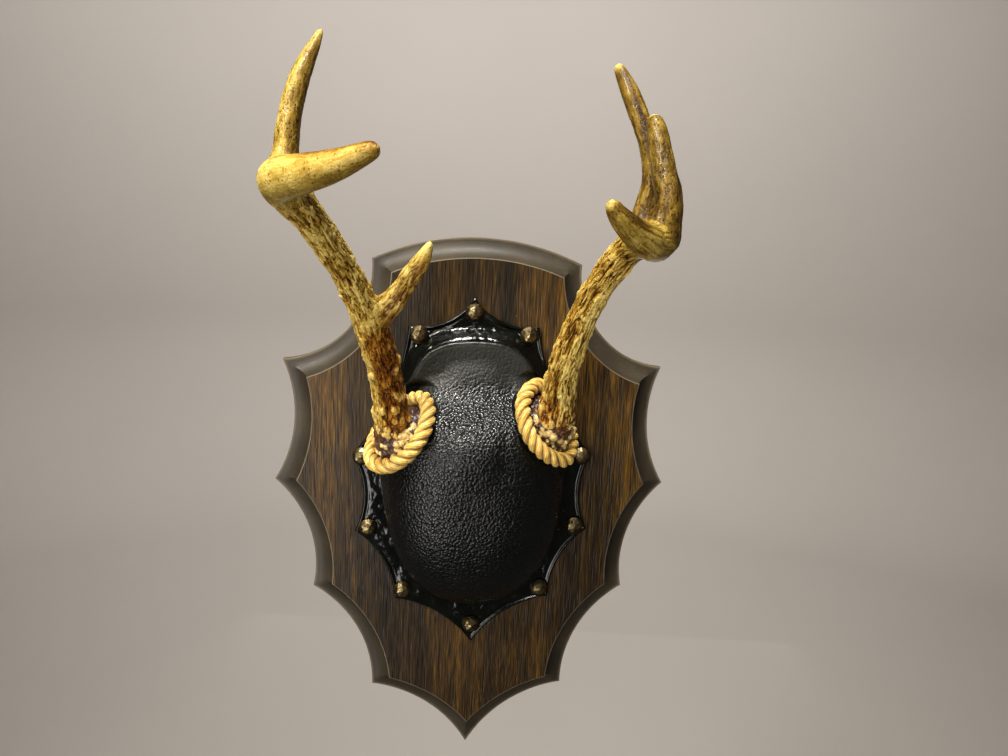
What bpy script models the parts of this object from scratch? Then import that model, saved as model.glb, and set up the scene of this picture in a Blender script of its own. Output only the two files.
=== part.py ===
"""Deer antler plaque mount.

A scalloped wall plaque with a routed cove edge carries a moulded skull cover.
Ten hammered nails hold the cover.  Two antlers rise from rope rings on its shoulders.
Sizes are in millimetres and are scaled to metres when a mesh is made.
+X is the viewer's right, -Y is the front, +Z is up.  The plaque's back lies on Y = 0.
"""

import math

import bmesh
import bpy
from mathutils import Vector

MM = 0.001
GAP = 0.3

# Plaque
PLAQUE_THICK = 16.0
COVE_WIDTH = 11.0
COVE_DEPTH = 10.3
COVE_STEPS = 6
EDGE_STEPS = 9
PLAQUE_HALF = [(58.0, 140.0), (106.5, 83.5), (111.5, 15.0), (90.5, -49.0), (56.5, -111.0)]
PLAQUE_FOOT = -150.0
TOP_BULGE = 13.0
SIDE_BITES = [15.5, 8.5, 9.0, 9.5, 8.0]

# Skull cover
COVER_X = -0.5
COVER_Z = 28.0
COVER_TILT = 0.8
FLANGE_THICK = 2.2
FLANGE_HALF = [(35.5, 77.0), (66.5, 5.5), (65.5, -38.0), (44.0, -78.5)]
FLANGE_TOP = 92.5
FLANGE_FOOT = -106.0
FLANGE_BITE = 5.5
FLANGE_STEPS = 8
SHELF_HEIGHT = 13.0
SHELF_HALF = [(0.0, 71.0), (15.0, 69.5), (25.0, 65.0), (31.0, 58.0), (35.0, 50.0), (40.0, 40.0)]
DOME_HALF = [(46.0, 30.0), (50.0, 19.0), (52.0, 6.0), (51.0, -9.0), (49.0, -23.0)]
DOME_FOOT_HALF = [(46.0, -36.0), (41.0, -49.0), (33.0, -61.0), (22.0, -71.0), (10.0, -76.5)]
DOME_FOOT = -78.0
DOME_HEIGHT = 45.0
DOME_WIDE = 50.5
DOME_LONG = 66.5
DOME_MID = -12.0
DOME_POWER = 2.8
BROW_HEIGHT = 43.0
BROW_WIDE = 21.0
BROW_LONG = 42.0
BROW_MID = 16.0
BROW_POWER = 3.2
BLEND = 3.0

# Nails
NAIL_RADIUS = 5.2
NAIL_HEIGHT = 3.6
NAIL_SIDES = 10
NAIL_HALF = [(30.0, 72.5), (61.0, 5.0), (58.0, -36.0), (39.0, -73.0)]
NAIL_TOP = 84.5
NAIL_FOOT = -94.5

# Rope rings and burrs: centre, bearing of the axis from straight ahead, rise of the axis.
# Each ring is drawn in behind its beam: by how much, and on which side of the ring.
ROPE_RADIUS = 4.2
RING_RADIUS = 21.0
RING_LEFT = ((-41.0, -41.5, 53.0), -53.0, 34.0)
RING_RIGHT = ((40.0, -40.5, 58.0), 42.5, 30.0)
BOSS_RADIUS = 21.5
SEAT_RADIUS = 28.5
BURR_FOOT = 16.0
BURR_TOP = 14.4
TUCK_LEFT = (8.0, 158.0)
TUCK_RIGHT = (10.0, 0.0)
BURR_DEPTH = 7.0

# Antler centre lines: x, y, z and radius at the burr, the bends, the forks and the tip
LEFT_BEAM = [
    (-40.0, -39.0, 46.0, 10.5),
    (-43.0, -49.0, 60.0, 9.0),
    (-45.0, -63.0, 81.0, 8.0),
    (-49.0, -82.0, 104.0, 7.8),
    (-57.0, -103.0, 130.0, 6.5),
    (-69.0, -128.0, 154.0, 6.4),
    (-76.0, -147.0, 165.0, 7.8),
    (-73.0, -157.0, 167.0, 7.5),
    (-65.0, -165.0, 168.0, 6.6),
    (-54.0, -174.0, 170.0, 5.2),
    (-42.0, -181.0, 174.0, 3.2),
    (-39.0, -183.0, 175.0, 1.6),
]
LEFT_BROW = [
    (-50.0, -88.0, 113.0, 3.5),
    (-44.0, -92.0, 118.0, 5.6),
    (-37.0, -97.0, 127.0, 4.8),
    (-28.0, -105.0, 140.0, 3.6),
    (-24.0, -110.0, 148.0, 1.2),
]
LEFT_REAR = [
    (-74.0, -146.0, 163.0, 3.0),
    (-75.0, -146.0, 173.0, 4.6),
    (-74.0, -144.0, 188.0, 4.2),
    (-71.0, -139.0, 204.0, 3.7),
    (-67.0, -132.0, 217.0, 2.2),
    (-65.0, -129.0, 223.0, 0.9),
]
RIGHT_BEAM = [
    (39.0, -39.0, 51.0, 10.5),
    (40.0, -49.0, 65.0, 9.2),
    (40.0, -62.0, 83.0, 7.8),
    (41.0, -77.0, 101.0, 7.3),
    (46.0, -97.0, 125.0, 6.4),
    (54.0, -124.0, 146.0, 6.6),
    (58.0, -140.0, 151.0, 6.8),
    (58.0, -154.0, 150.0, 7.2),
    (52.0, -165.0, 150.0, 6.3),
    (45.0, -172.0, 153.0, 4.6),
    (39.0, -177.0, 157.0, 3.3),
    (34.0, -180.0, 162.0, 1.3),
]
RIGHT_FRONT = [
    (58.0, -155.0, 150.0, 4.0),
    (59.0, -160.0, 154.0, 5.8),
    (59.5, -161.0, 165.0, 4.9),
    (58.0, -158.0, 175.0, 4.4),
    (56.0, -153.0, 189.0, 3.2),
    (55.0, -150.0, 194.0, 1.6),
]
RIGHT_REAR = [
    (57.0, -134.0, 150.0, 3.5),
    (58.0, -135.0, 160.0, 4.8),
    (60.0, -135.0, 174.0, 3.8),
    (58.0, -133.0, 188.0, 3.7),
    (52.0, -127.0, 206.0, 3.3),
    (47.0, -122.0, 218.0, 1.1),
]
LEFT_CUTS = [0.40, 0.66]
RIGHT_CUTS = [0.61, 0.76]
ANTLER_SIDES = 12
ANTLER_STEPS = 30
TINE_STEPS = 12


def clear_scene():
    for obj in list(bpy.data.objects):
        bpy.data.objects.remove(obj, do_unlink=True)


def make_material(name, colour, roughness, metallic=0.0, coat=0.0):
    mat = bpy.data.materials.new(name)
    mat.use_nodes = True
    shader = mat.node_tree.nodes["Principled BSDF"]
    shader.inputs["Base Color"].default_value = (colour[0], colour[1], colour[2], 1.0)
    shader.inputs["Roughness"].default_value = roughness
    shader.inputs["Metallic"].default_value = metallic
    shader.inputs["Coat Weight"].default_value = coat
    mat.diffuse_color = (colour[0], colour[1], colour[2], 1.0)
    return mat


def make_object(name, points, faces, mat, smooth=False):
    mesh = bpy.data.meshes.new(name)
    mesh.from_pydata([(p[0] * MM, p[1] * MM, p[2] * MM) for p in points], [], faces)
    build = bmesh.new()
    build.from_mesh(mesh)
    bmesh.ops.recalc_face_normals(build, faces=build.faces)
    build.to_mesh(mesh)
    build.free()
    mesh.polygons.foreach_set("use_smooth", [smooth] * len(mesh.polygons))
    mesh.update()
    obj = bpy.data.objects.new(name, mesh)
    bpy.context.scene.collection.objects.link(obj)
    obj.data.materials.append(mat)
    return obj


def loft(rings):
    """Closed skin over rings of equal length, with a flat cap at each end."""
    count = len(rings[0])
    points = [p for ring in rings for p in ring]
    faces = []
    for k in range(len(rings) - 1):
        for i in range(count):
            j = (i + 1) % count
            a = k * count
            b = a + count
            faces.append((a + i, a + j, b + j, b + i))
    faces.append(tuple(range(count))[::-1])
    faces.append(tuple(range((len(rings) - 1) * count, len(rings) * count)))
    return points, faces


# ---------------------------------------------------------------- outlines


def arc_circle(p, q, sagitta, bulge):
    """Circle through p and q.  bulge +1 puts the arc left of p to q, -1 puts it right."""
    chord = math.hypot(q[0] - p[0], q[1] - p[1])
    radius = (chord * chord / 4 + sagitta * sagitta) / (2 * sagitta)
    normal = (-(q[1] - p[1]) / chord, (q[0] - p[0]) / chord)
    back = (radius - sagitta) * bulge
    centre = ((p[0] + q[0]) / 2 - normal[0] * back, (p[1] + q[1]) / 2 - normal[1] * back)
    return centre, radius


def circle_meet(c0, r0, c1, r1, near):
    gap = math.hypot(c1[0] - c0[0], c1[1] - c0[1])
    along = (r0 * r0 - r1 * r1 + gap * gap) / (2 * gap)
    side = math.sqrt(max(r0 * r0 - along * along, 0.0))
    ux = (c1[0] - c0[0]) / gap
    uz = (c1[1] - c0[1]) / gap
    first = (c0[0] + along * ux - side * uz, c0[1] + along * uz + side * ux)
    second = (c0[0] + along * ux + side * uz, c0[1] + along * uz - side * ux)
    if math.dist(first, near) < math.dist(second, near):
        return first
    return second


def arc_points(centre, radius, p, q, steps):
    start = math.atan2(p[1] - centre[1], p[0] - centre[0])
    turn = math.atan2(q[1] - centre[1], q[0] - centre[0]) - start
    turn = (turn + math.pi) % (2 * math.pi) - math.pi
    out = []
    for i in range(steps):
        angle = start + turn * i / steps
        out.append((centre[0] + radius * math.cos(angle), centre[1] + radius * math.sin(angle)))
    return out


def plaque_outline(inset):
    """Clockwise outline from the top left corner, moved inwards by inset."""
    right = list(PLAQUE_HALF)
    left = [(-x, z) for x, z in reversed(PLAQUE_HALF)]
    corners = [left[-1]] + right + [(0.0, PLAQUE_FOOT)] + left[:-1]
    sagittas = [TOP_BULGE] + SIDE_BITES + SIDE_BITES[::-1]
    circles = []
    for k, corner in enumerate(corners):
        following = corners[(k + 1) % len(corners)]
        bulge = 1 if k == 0 else -1
        centre, radius = arc_circle(corner, following, sagittas[k], bulge)
        circles.append((centre, radius - bulge * inset))
    moved = []
    for k, corner in enumerate(corners):
        before = circles[k - 1]
        after = circles[k]
        moved.append(circle_meet(before[0], before[1], after[0], after[1], corner))
    out = []
    for k, circle in enumerate(circles):
        steps = EDGE_STEPS * 2 if k == 0 else EDGE_STEPS
        out += arc_points(circle[0], circle[1], moved[k], moved[(k + 1) % len(moved)], steps)
    return out


def flange_outline():
    """Cusped outline of the cover in its own frame, clockwise from the top."""
    right = list(FLANGE_HALF)
    left = [(-x, z) for x, z in reversed(FLANGE_HALF)]
    corners = [(0.0, FLANGE_TOP)] + right + [(0.0, FLANGE_FOOT)] + left
    out = []
    for k, corner in enumerate(corners):
        following = corners[(k + 1) % len(corners)]
        centre, radius = arc_circle(corner, following, FLANGE_BITE, -1)
        steps = FLANGE_STEPS + 4 if k in (1, 8) else FLANGE_STEPS
        out += arc_points(centre, radius, corner, following, steps)
    return out


def place_on_cover(x, z):
    turn = math.radians(COVER_TILT)
    px = COVER_X + x * math.cos(turn) - z * math.sin(turn)
    pz = COVER_Z + x * math.sin(turn) + z * math.cos(turn)
    return px, pz


# ---------------------------------------------------------------- cover relief


def soft_max(a, b, width):
    h = max(width - abs(a - b), 0.0) / width
    return max(a, b) + h * h * width / 4


def soft_min(a, b, width):
    return -soft_max(-a, -b, width)


def ring_frame(spec):
    """Centre, axis and the two directions across the ring."""
    centre, bearing, rise = spec
    az = math.radians(bearing)
    el = math.radians(rise)
    axis = Vector((math.sin(az) * math.cos(el), -math.cos(az) * math.cos(el), math.sin(el)))
    across = Vector((math.cos(az), math.sin(az), 0.0))
    return Vector(centre), axis, across, axis.cross(across)


def seat_plane(spec, x, z):
    """Height of the ring's seat above the plaque face, and distance from its centre."""
    centre, axis, across, upward = ring_frame(spec)
    seat = centre - axis * (ROPE_RADIUS + GAP)
    y = seat.y - (axis.x * (x - seat.x) + axis.z * (z - seat.z)) / axis.y
    away = Vector((x, y, z)) - seat
    return -y - PLAQUE_THICK, away.length


def inside_outline(outline, x, z):
    """How far (x, z) is inside the closed outline, negative outside."""
    inside = False
    nearest = 1.0e9
    for i, p in enumerate(outline):
        q = outline[(i + 1) % len(outline)]
        if (p[1] > z) != (q[1] > z):
            if x < p[0] + (z - p[1]) / (q[1] - p[1]) * (q[0] - p[0]):
                inside = not inside
        dx = q[0] - p[0]
        dz = q[1] - p[1]
        t = ((x - p[0]) * dx + (z - p[1]) * dz) / (dx * dx + dz * dz)
        t = min(max(t, 0.0), 1.0)
        nearest = min(nearest, math.hypot(x - p[0] - t * dx, z - p[1] - t * dz))
    return nearest if inside else -nearest


def dome_outline():
    half = SHELF_HALF + DOME_HALF + DOME_FOOT_HALF
    mirror = [(-x, z) for x, z in reversed(half) if x > 0.0]
    return half + [(0.0, DOME_FOOT)] + mirror


def cover_height(x, z, outline):
    """Height of the cover above the plaque face at (x, z) in its own frame."""
    depth = inside_outline(outline, x, z)
    rim = min(max(depth / 3.5, 0.0), 1.0)
    shelf = FLANGE_THICK + (SHELF_HEIGHT - FLANGE_THICK) * rim * (2 - rim)
    s = abs(x / DOME_WIDE) ** DOME_POWER + abs((z - DOME_MID) / DOME_LONG) ** DOME_POWER
    dome = DOME_HEIGHT * math.sqrt(max(0.0, 1.0 - s))
    s = abs(x / BROW_WIDE) ** BROW_POWER + abs((z - BROW_MID) / BROW_LONG) ** BROW_POWER
    brow = BROW_HEIGHT * max(0.0, 1.0 - s) ** (1 / BROW_POWER)
    px, pz = place_on_cover(x, z)
    height = soft_max(soft_max(dome, brow, BLEND), shelf, BLEND)
    for spec in (RING_LEFT, RING_RIGHT):
        plane, away = seat_plane(spec, px, pz)
        if away < SEAT_RADIUS + 12.0:
            height = soft_min(height, plane + max(0.0, away - SEAT_RADIUS) * 2.5, BLEND)
        if away < BOSS_RADIUS:
            height = max(height, plane)
        elif plane > 0.0:
            height = max(height, plane - (away - BOSS_RADIUS) * 3.0)
    if depth <= 0.0:
        return FLANGE_THICK
    low = FLANGE_THICK + depth * 9.0
    return max(FLANGE_THICK, min(height, low))


def build_cover(mat):
    outline = dome_outline()
    flange = flange_outline()
    shares = [0.12, 0.24, 0.36, 0.47, 0.57, 0.66, 0.74, 0.81, 0.87, 0.92, 0.96, 0.99, 1.0]
    base = PLAQUE_THICK + GAP
    points = []
    px, pz = place_on_cover(0.0, 0.0)
    points.append((px, -PLAQUE_THICK - cover_height(0.0, 0.0, outline), pz))
    reach = []
    for x, z in flange:
        low = 0.0
        high = 1.0
        for step in range(30):
            mid = (low + high) / 2
            if inside_outline(outline, x * mid, z * mid) > 0.0:
                low = mid
            else:
                high = mid
        reach.append(low)
    rings = []
    for share in shares:
        ring = []
        for (x, z), r in zip(flange, reach):
            qx = x * r * share
            qz = z * r * share
            px, pz = place_on_cover(qx, qz)
            ring.append((px, -PLAQUE_THICK - cover_height(qx, qz, outline), pz))
        rings.append(ring)
    ring = []
    for x, z in flange:
        size = math.hypot(x, z)
        px, pz = place_on_cover(x * (1 - 1.0 / size), z * (1 - 1.0 / size))
        ring.append((px, -PLAQUE_THICK - FLANGE_THICK, pz))
    rings.append(ring)
    edge = [place_on_cover(x, z) for x, z in flange]
    rings.append([(x, -PLAQUE_THICK - FLANGE_THICK + 0.7, z) for x, z in edge])
    rings.append([(x, -base, z) for x, z in edge])
    count = len(flange)
    faces = []
    for ring in rings:
        points += ring
    for i in range(count):
        faces.append((0, 1 + i, 1 + (i + 1) % count))
    for k in range(len(rings) - 1):
        for i in range(count):
            j = (i + 1) % count
            a = 1 + k * count
            b = a + count
            faces.append((a + i, b + i, b + j, a + j))
    last = 1 + (len(rings) - 1) * count
    px, pz = place_on_cover(0.0, 0.0)
    points.append((px, -base, pz))
    hub = len(points) - 1
    for i in range(count):
        faces.append((hub, last + (i + 1) % count, last + i))
    return make_object("skull_cover", points, faces, mat, smooth=True)


# ---------------------------------------------------------------- plaque, nails, rings


def build_plaque(mat):
    rings = []
    rings.append([(x, 0.0, z) for x, z in plaque_outline(0.0)])
    for k in range(COVE_STEPS + 1):
        angle = 0.5 * math.pi * k / COVE_STEPS
        inset = COVE_WIDTH * math.sin(angle)
        y = -PLAQUE_THICK + COVE_DEPTH * math.cos(angle)
        rings.append([(x, y, z) for x, z in plaque_outline(inset)])
    points, faces = loft(rings)
    return make_object("plaque_board", points, faces, mat)


def build_nail(index, x, z, mat):
    px, pz = place_on_cover(x, z)
    base = -PLAQUE_THICK - FLANGE_THICK - GAP
    rings = []
    for radius, rise in ((1.0, 0.0), (0.98, 0.28), (0.72, 0.72), (0.34, 0.96)):
        turn = math.radians(18.0) * index + rise
        ring = []
        for i in range(NAIL_SIDES):
            angle = turn + 2 * math.pi * i / NAIL_SIDES
            r = NAIL_RADIUS * radius
            ring.append((px + r * math.cos(angle), base - NAIL_HEIGHT * rise, pz + r * math.sin(angle)))
        rings.append(ring)
    points, faces = loft(rings)
    return make_object("nail_%02d" % index, points, faces, mat)


def ring_tuck(angle, tuck):
    """How far the ring is drawn in at angle, most on the side tucked behind the beam."""
    return tuck[0] * max(0.0, math.cos(angle - math.radians(tuck[1])))


def build_ring(name, spec, tuck, mat):
    centre, axis, across, upward = ring_frame(spec)
    around = 32
    sides = 8
    points = []
    faces = []
    for i in range(around):
        a = 2 * math.pi * i / around
        out = across * math.cos(a) + upward * math.sin(a)
        for j in range(sides):
            b = 2 * math.pi * (j + 0.5) / sides
            radius = RING_RADIUS - ring_tuck(a, tuck) + ROPE_RADIUS * math.cos(b)
            p = centre + out * radius + axis * (ROPE_RADIUS * math.sin(b))
            points.append(tuple(p))
    for i in range(around):
        for j in range(sides):
            k = (i + 1) % around
            m = (j + 1) % sides
            faces.append((i * sides + j, k * sides + j, k * sides + m, i * sides + m))
    return make_object(name, points, faces, mat, smooth=True)


def build_burr(name, spec, tuck, mat):
    centre, axis, across, upward = ring_frame(spec)
    foot = -ROPE_RADIUS
    levels = [(foot, 0.0), (foot + BURR_DEPTH - 2.0, 0.0), (foot + BURR_DEPTH, BURR_FOOT - BURR_TOP)]
    rings = []
    for level, inset in levels:
        ring = []
        for i in range(24):
            a = 2 * math.pi * i / 24
            radius = BURR_FOOT - inset - ring_tuck(a, tuck)
            p = centre + axis * level + (across * math.cos(a) + upward * math.sin(a)) * radius
            ring.append(tuple(p))
        rings.append(ring)
    points, faces = loft(rings)
    return make_object(name, points, faces, mat)


# ---------------------------------------------------------------- antlers


def smooth_path(stations, steps):
    """Even samples of a Catmull-Rom curve through the stations."""
    keys = [Vector(s) for s in stations]
    fine = []
    for k in range(len(keys) - 1):
        a = keys[max(k - 1, 0)]
        b = keys[k]
        c = keys[k + 1]
        d = keys[min(k + 2, len(keys) - 1)]
        for i in range(12):
            t = i / 12
            fine.append(0.5 * (2 * b + (c - a) * t + (2 * a - 5 * b + 4 * c - d) * t * t
                               + (3 * b - a - 3 * c + d) * t ** 3))
    fine.append(keys[-1])
    run = [0.0]
    for k in range(1, len(fine)):
        run.append(run[-1] + (fine[k].to_3d() - fine[k - 1].to_3d()).length)
    out = []
    k = 0
    for i in range(steps + 1):
        want = run[-1] * i / steps
        while k < len(run) - 2 and run[k + 1] < want:
            k += 1
        t = (want - run[k]) / max(run[k + 1] - run[k], 1.0e-9)
        out.append(fine[k].lerp(fine[k + 1], t))
    return out, run[-1]


def tube_rings(path, first, last, grow=0.0):
    """Round sections along path between the shares first and last of its length."""
    count = len(path) - 1
    shares = [first] + [i / count for i in range(count + 1) if first < i / count < last] + [last]
    side = None
    rings = []
    for share in shares:
        place = share * count
        k = min(int(place), count - 1)
        here = path[k].lerp(path[k + 1], place - k)
        ahead = path[min(k + 1, count)].to_3d() - path[max(k - 1, 0)].to_3d()
        after = path[min(k + 2, count)].to_3d() - path[k].to_3d()
        along = ahead.normalized().lerp(after.normalized(), place - k).normalized()
        if side is None:
            side = along.orthogonal().normalized()
        side = (side - along * side.dot(along)).normalized()
        other = along.cross(side)
        radius = here[3] + grow
        ring = []
        for i in range(ANTLER_SIDES):
            a = 2 * math.pi * i / ANTLER_SIDES
            ring.append(tuple(here.to_3d() + (side * math.cos(a) + other * math.sin(a)) * radius))
        rings.append(ring)
    return rings


def trim_flat(obj, point, normal):
    """Keep what lies ahead of the plane and close the cut with a flat face."""
    build = bmesh.new()
    build.from_mesh(obj.data)
    whole = build.verts[:] + build.edges[:] + build.faces[:]
    cut = bmesh.ops.bisect_plane(build, geom=whole, plane_co=point, plane_no=normal, clear_inner=True)
    rim = [e for e in cut["geom_cut"] if isinstance(e, bmesh.types.BMEdge)]
    bmesh.ops.contextual_create(build, geom=rim)
    bmesh.ops.recalc_face_normals(build, faces=build.faces)
    build.to_mesh(obj.data)
    build.free()
    obj.data.update()


def build_beam(names, spec, stations, cuts, mat):
    centre, axis, across, upward = ring_frame(spec)
    root = centre + axis * (BURR_DEPTH - ROPE_RADIUS + GAP)
    path, length = smooth_path(stations, ANTLER_STEPS)
    half = 0.5 * GAP / length
    bounds = [0.0] + cuts + [1.0]
    parts = []
    for k, name in enumerate(names):
        first = bounds[k] + (half if k else 0.0)
        last = bounds[k + 1] - (half if k < len(names) - 1 else 0.0)
        points, faces = loft(tube_rings(path, first, last))
        part = make_object(name, points, faces, mat, smooth=True)
        if k == 0:
            trim_flat(part, root * MM, axis)
        parts.append(part)
    points, faces = loft(tube_rings(path, 0.0, 1.0, GAP))
    cutter = make_object(names[0] + "_clearance", points, faces, mat)
    cutter.hide_render = True
    cutter.display_type = "WIRE"
    return parts, cutter


def build_tine(name, stations, cutters, mat):
    path, length = smooth_path(stations, TINE_STEPS)
    points, faces = loft(tube_rings(path, 0.0, 1.0))
    tine = make_object(name, points, faces, mat, smooth=True)
    for cutter in cutters:
        cut = tine.modifiers.new("seat", "BOOLEAN")
        cut.operation = "DIFFERENCE"
        cut.solver = "EXACT"
        cut.object = cutter
    return tine


def build_all():
    clear_scene()
    wood = make_material("walnut_board", (0.105, 0.055, 0.025), 0.45, coat=0.2)
    leather = make_material("cover_black", (0.012, 0.013, 0.013), 0.42)
    brass = make_material("aged_brass", (0.20, 0.14, 0.08), 0.38, metallic=1.0)
    rope = make_material("trim_rope", (0.66, 0.43, 0.15), 0.55)
    horn = make_material("antler_horn", (0.48, 0.31, 0.12), 0.45)
    burr = make_material("burr_bone", (0.16, 0.075, 0.05), 0.6)

    build_plaque(wood)
    build_cover(leather)

    spots = [(0.0, NAIL_TOP)] + NAIL_HALF + [(0.0, NAIL_FOOT)]
    spots += [(-x, z) for x, z in reversed(NAIL_HALF)]
    for index, (x, z) in enumerate(spots, start=1):
        build_nail(index, x, z, brass)

    build_ring("rope_ring_left", RING_LEFT, TUCK_LEFT, rope)
    build_ring("rope_ring_right", RING_RIGHT, TUCK_RIGHT, rope)
    build_burr("antler_left_burr", RING_LEFT, TUCK_LEFT, burr)
    build_burr("antler_right_burr", RING_RIGHT, TUCK_RIGHT, burr)

    names = ["antler_left_beam_low", "antler_left_beam_mid", "antler_left_beam_end"]
    parts, cutter = build_beam(names, RING_LEFT, LEFT_BEAM, LEFT_CUTS, horn)
    build_tine("antler_left_brow_tine", LEFT_BROW, [cutter], horn)
    build_tine("antler_left_rear_tine", LEFT_REAR, [cutter], horn)

    names = ["antler_right_beam_low", "antler_right_beam_mid", "antler_right_beam_end"]
    parts, cutter = build_beam(names, RING_RIGHT, RIGHT_BEAM, RIGHT_CUTS, horn)
    build_tine("antler_right_front_tine", RIGHT_FRONT, [cutter], horn)
    build_tine("antler_right_rear_tine", RIGHT_REAR, [cutter], horn)


build_all()
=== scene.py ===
"""Deer antler plaque mount: the looks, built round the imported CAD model.

A scalloped walnut plaque with a painted cove edge carries a black moulded skull cover,
ten hammered nails, two rope rings and two antlers with their burrs.
Lengths here are in millimetres in the row frame (+X the viewer's right, -Y the front,
+Z up, the plaque's back on Y = 0) and are scaled to metres when a mesh is made.
"""

import math

import bmesh
import bpy
import numpy as np
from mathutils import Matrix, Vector


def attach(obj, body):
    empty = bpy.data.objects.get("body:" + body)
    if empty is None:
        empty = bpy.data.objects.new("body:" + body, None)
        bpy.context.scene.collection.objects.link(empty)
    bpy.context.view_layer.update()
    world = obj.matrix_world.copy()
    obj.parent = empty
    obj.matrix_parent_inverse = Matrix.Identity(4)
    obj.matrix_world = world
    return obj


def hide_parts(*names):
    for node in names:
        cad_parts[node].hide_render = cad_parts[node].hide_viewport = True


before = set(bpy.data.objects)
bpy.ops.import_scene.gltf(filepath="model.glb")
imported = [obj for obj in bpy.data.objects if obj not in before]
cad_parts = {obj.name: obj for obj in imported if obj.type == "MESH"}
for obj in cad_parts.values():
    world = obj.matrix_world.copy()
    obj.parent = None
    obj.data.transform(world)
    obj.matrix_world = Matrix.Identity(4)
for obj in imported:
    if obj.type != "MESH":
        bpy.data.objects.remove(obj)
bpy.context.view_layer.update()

MM = 0.001
GAP = 0.3

# Plaque
PLAQUE_THICK = 16.0
COVE_WIDTH = 11.0
COVE_DEPTH = 10.3
COVE_STEPS = 21
ARC_STEPS = 30
PLAQUE_HALF = [(58.0, 140.0), (106.5, 83.5), (111.5, 15.0), (90.5, -49.0), (56.5, -111.0)]
PLAQUE_FOOT = -150.0
TOP_BULGE = 13.0
SIDE_BITES = [15.5, 8.5, 9.0, 9.5, 8.0]

# Skull cover
COVER_X = -0.5
COVER_Z = 28.0
COVER_TILT = 0.8
FLANGE_THICK = 2.2
FLANGE_HALF = [(35.5, 77.0), (66.5, 5.5), (65.5, -38.0), (44.0, -78.5)]
FLANGE_TOP = 92.5
FLANGE_FOOT = -106.0
FLANGE_BITE = 5.5
SHELF_HEIGHT = 13.0
SHELF_HALF = [(0.0, 71.0), (15.0, 69.5), (25.0, 65.0), (31.0, 58.0), (35.0, 50.0), (40.0, 40.0)]
DOME_HALF = [(46.0, 30.0), (50.0, 19.0), (52.0, 6.0), (51.0, -9.0), (49.0, -23.0)]
DOME_FOOT_HALF = [(46.0, -36.0), (41.0, -49.0), (33.0, -61.0), (22.0, -71.0), (10.0, -76.5)]
DOME_FOOT = -78.0
DOME_HEIGHT = 45.0
DOME_WIDE = 50.5
DOME_LONG = 66.5
DOME_MID = -12.0
DOME_POWER = 2.8
BROW_HEIGHT = 43.0
BROW_WIDE = 25.0
BROW_LONG = 45.0
BROW_MID = 16.0
BROW_POWER = 3.2
BROW_LONG_POWER = 2.5
BROW_SLOPE = 1.10
SADDLE_RISE = 39.0
SADDLE_TOP = 55.0
SADDLE_FOOT = 9.0
BLEND = 3.0
CROWN_BLEND = 9.0
SADDLE_BLEND = 10.0
WALL_SLOPE = 9.0
WALL_LIFT = 7.0
WALL_FLARE = 7.0
COVER_RINGS = 300

# Nails
NAIL_RADIUS = 5.2
NAIL_HEIGHT = 3.6
NAIL_HALF = [(30.0, 72.5), (61.0, 5.0), (58.0, -36.0), (39.0, -73.0)]
NAIL_TOP = 84.5
NAIL_FOOT = -94.5

# Rope rings and burrs: centre, bearing of the axis from straight ahead, rise of the axis.
# Each ring is drawn in behind its beam: by how much, and on which side of the ring.
ROPE_RADIUS = 4.2
RING_RADIUS = 21.0
RING_LEFT = ((-41.0, -41.5, 53.0), -53.0, 34.0)
RING_RIGHT = ((40.0, -40.5, 58.0), 42.5, 30.0)
TUCK_LEFT = (8.0, 158.0)
TUCK_RIGHT = (10.0, 0.0)
BOSS_RADIUS = 21.5
BOSS_SLOPE = 3.0
SEAT_RADIUS = 28.5
SEAT_REACH = 12.0
SEAT_SLOPE = 2.5
ROPE_STRANDS = 3
ROPE_TURNS = 8
ROPE_AROUND = 720
ROPE_SIDES = 120
FLARE_REACH = 21.0
FLARE_FOOT = 16.4
BURR_VOXEL = 0.35
BURR_BEADS = 46

# Burr pearls that show most: bearing round the ring, share of the way up the flare, size
PEARLS_LEFT = [(340, 0.50, 2.7), (329, 0.44, 2.5), (335, 0.60, 2.0), (352, 0.56, 2.2), (214, 0.58, 2.2),
               (224, 0.56, 2.3), (233, 0.44, 2.5), (246, 0.26, 1.8), (256, 0.28, 1.9), (268, 0.32, 1.5),
               (22, 0.50, 1.8), (10, 0.52, 1.6), (300, 0.28, 1.4), (316, 0.34, 1.5)]
PEARLS_RIGHT = [(184, 0.46, 1.5), (200, 0.50, 1.9), (214, 0.56, 2.3), (232, 0.52, 2.5), (250, 0.56, 2.0),
                (264, 0.48, 2.0), (221, 0.38, 1.5), (280, 0.54, 2.8), (298, 0.46, 3.0), (243, 0.34, 1.6),
                (258, 0.28, 1.6), (316, 0.50, 2.8), (288, 0.26, 2.0), (206, 0.32, 1.2), (272, 0.34, 1.8)]

# Antler centre lines: x, y, z and radius at the burr, the bends, the forks and the tip.
# They come from another program, which put points of the photograph through a fitted
# camera at guessed depths.  The lists were then thinned and rounded.
LEFT_BEAM = [
    (-40.0, -39.0, 46.0, 10.5), (-43.0, -49.0, 60.0, 9.0), (-45.0, -63.0, 81.0, 8.0),
    (-49.0, -82.0, 104.0, 7.8), (-57.0, -103.0, 130.0, 6.5), (-69.0, -128.0, 154.0, 6.4),
    (-76.0, -147.0, 165.0, 7.8), (-73.0, -157.0, 167.0, 7.5), (-65.0, -165.0, 168.0, 6.6),
    (-54.0, -174.0, 170.0, 5.2), (-42.0, -181.0, 174.0, 3.2), (-39.0, -183.0, 175.0, 1.6),
]
LEFT_BROW = [
    (-50.0, -88.0, 113.0, 3.5), (-44.0, -92.0, 118.0, 5.6), (-37.0, -97.0, 127.0, 4.8),
    (-28.0, -105.0, 140.0, 3.6), (-24.0, -110.0, 148.0, 1.2),
]
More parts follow.
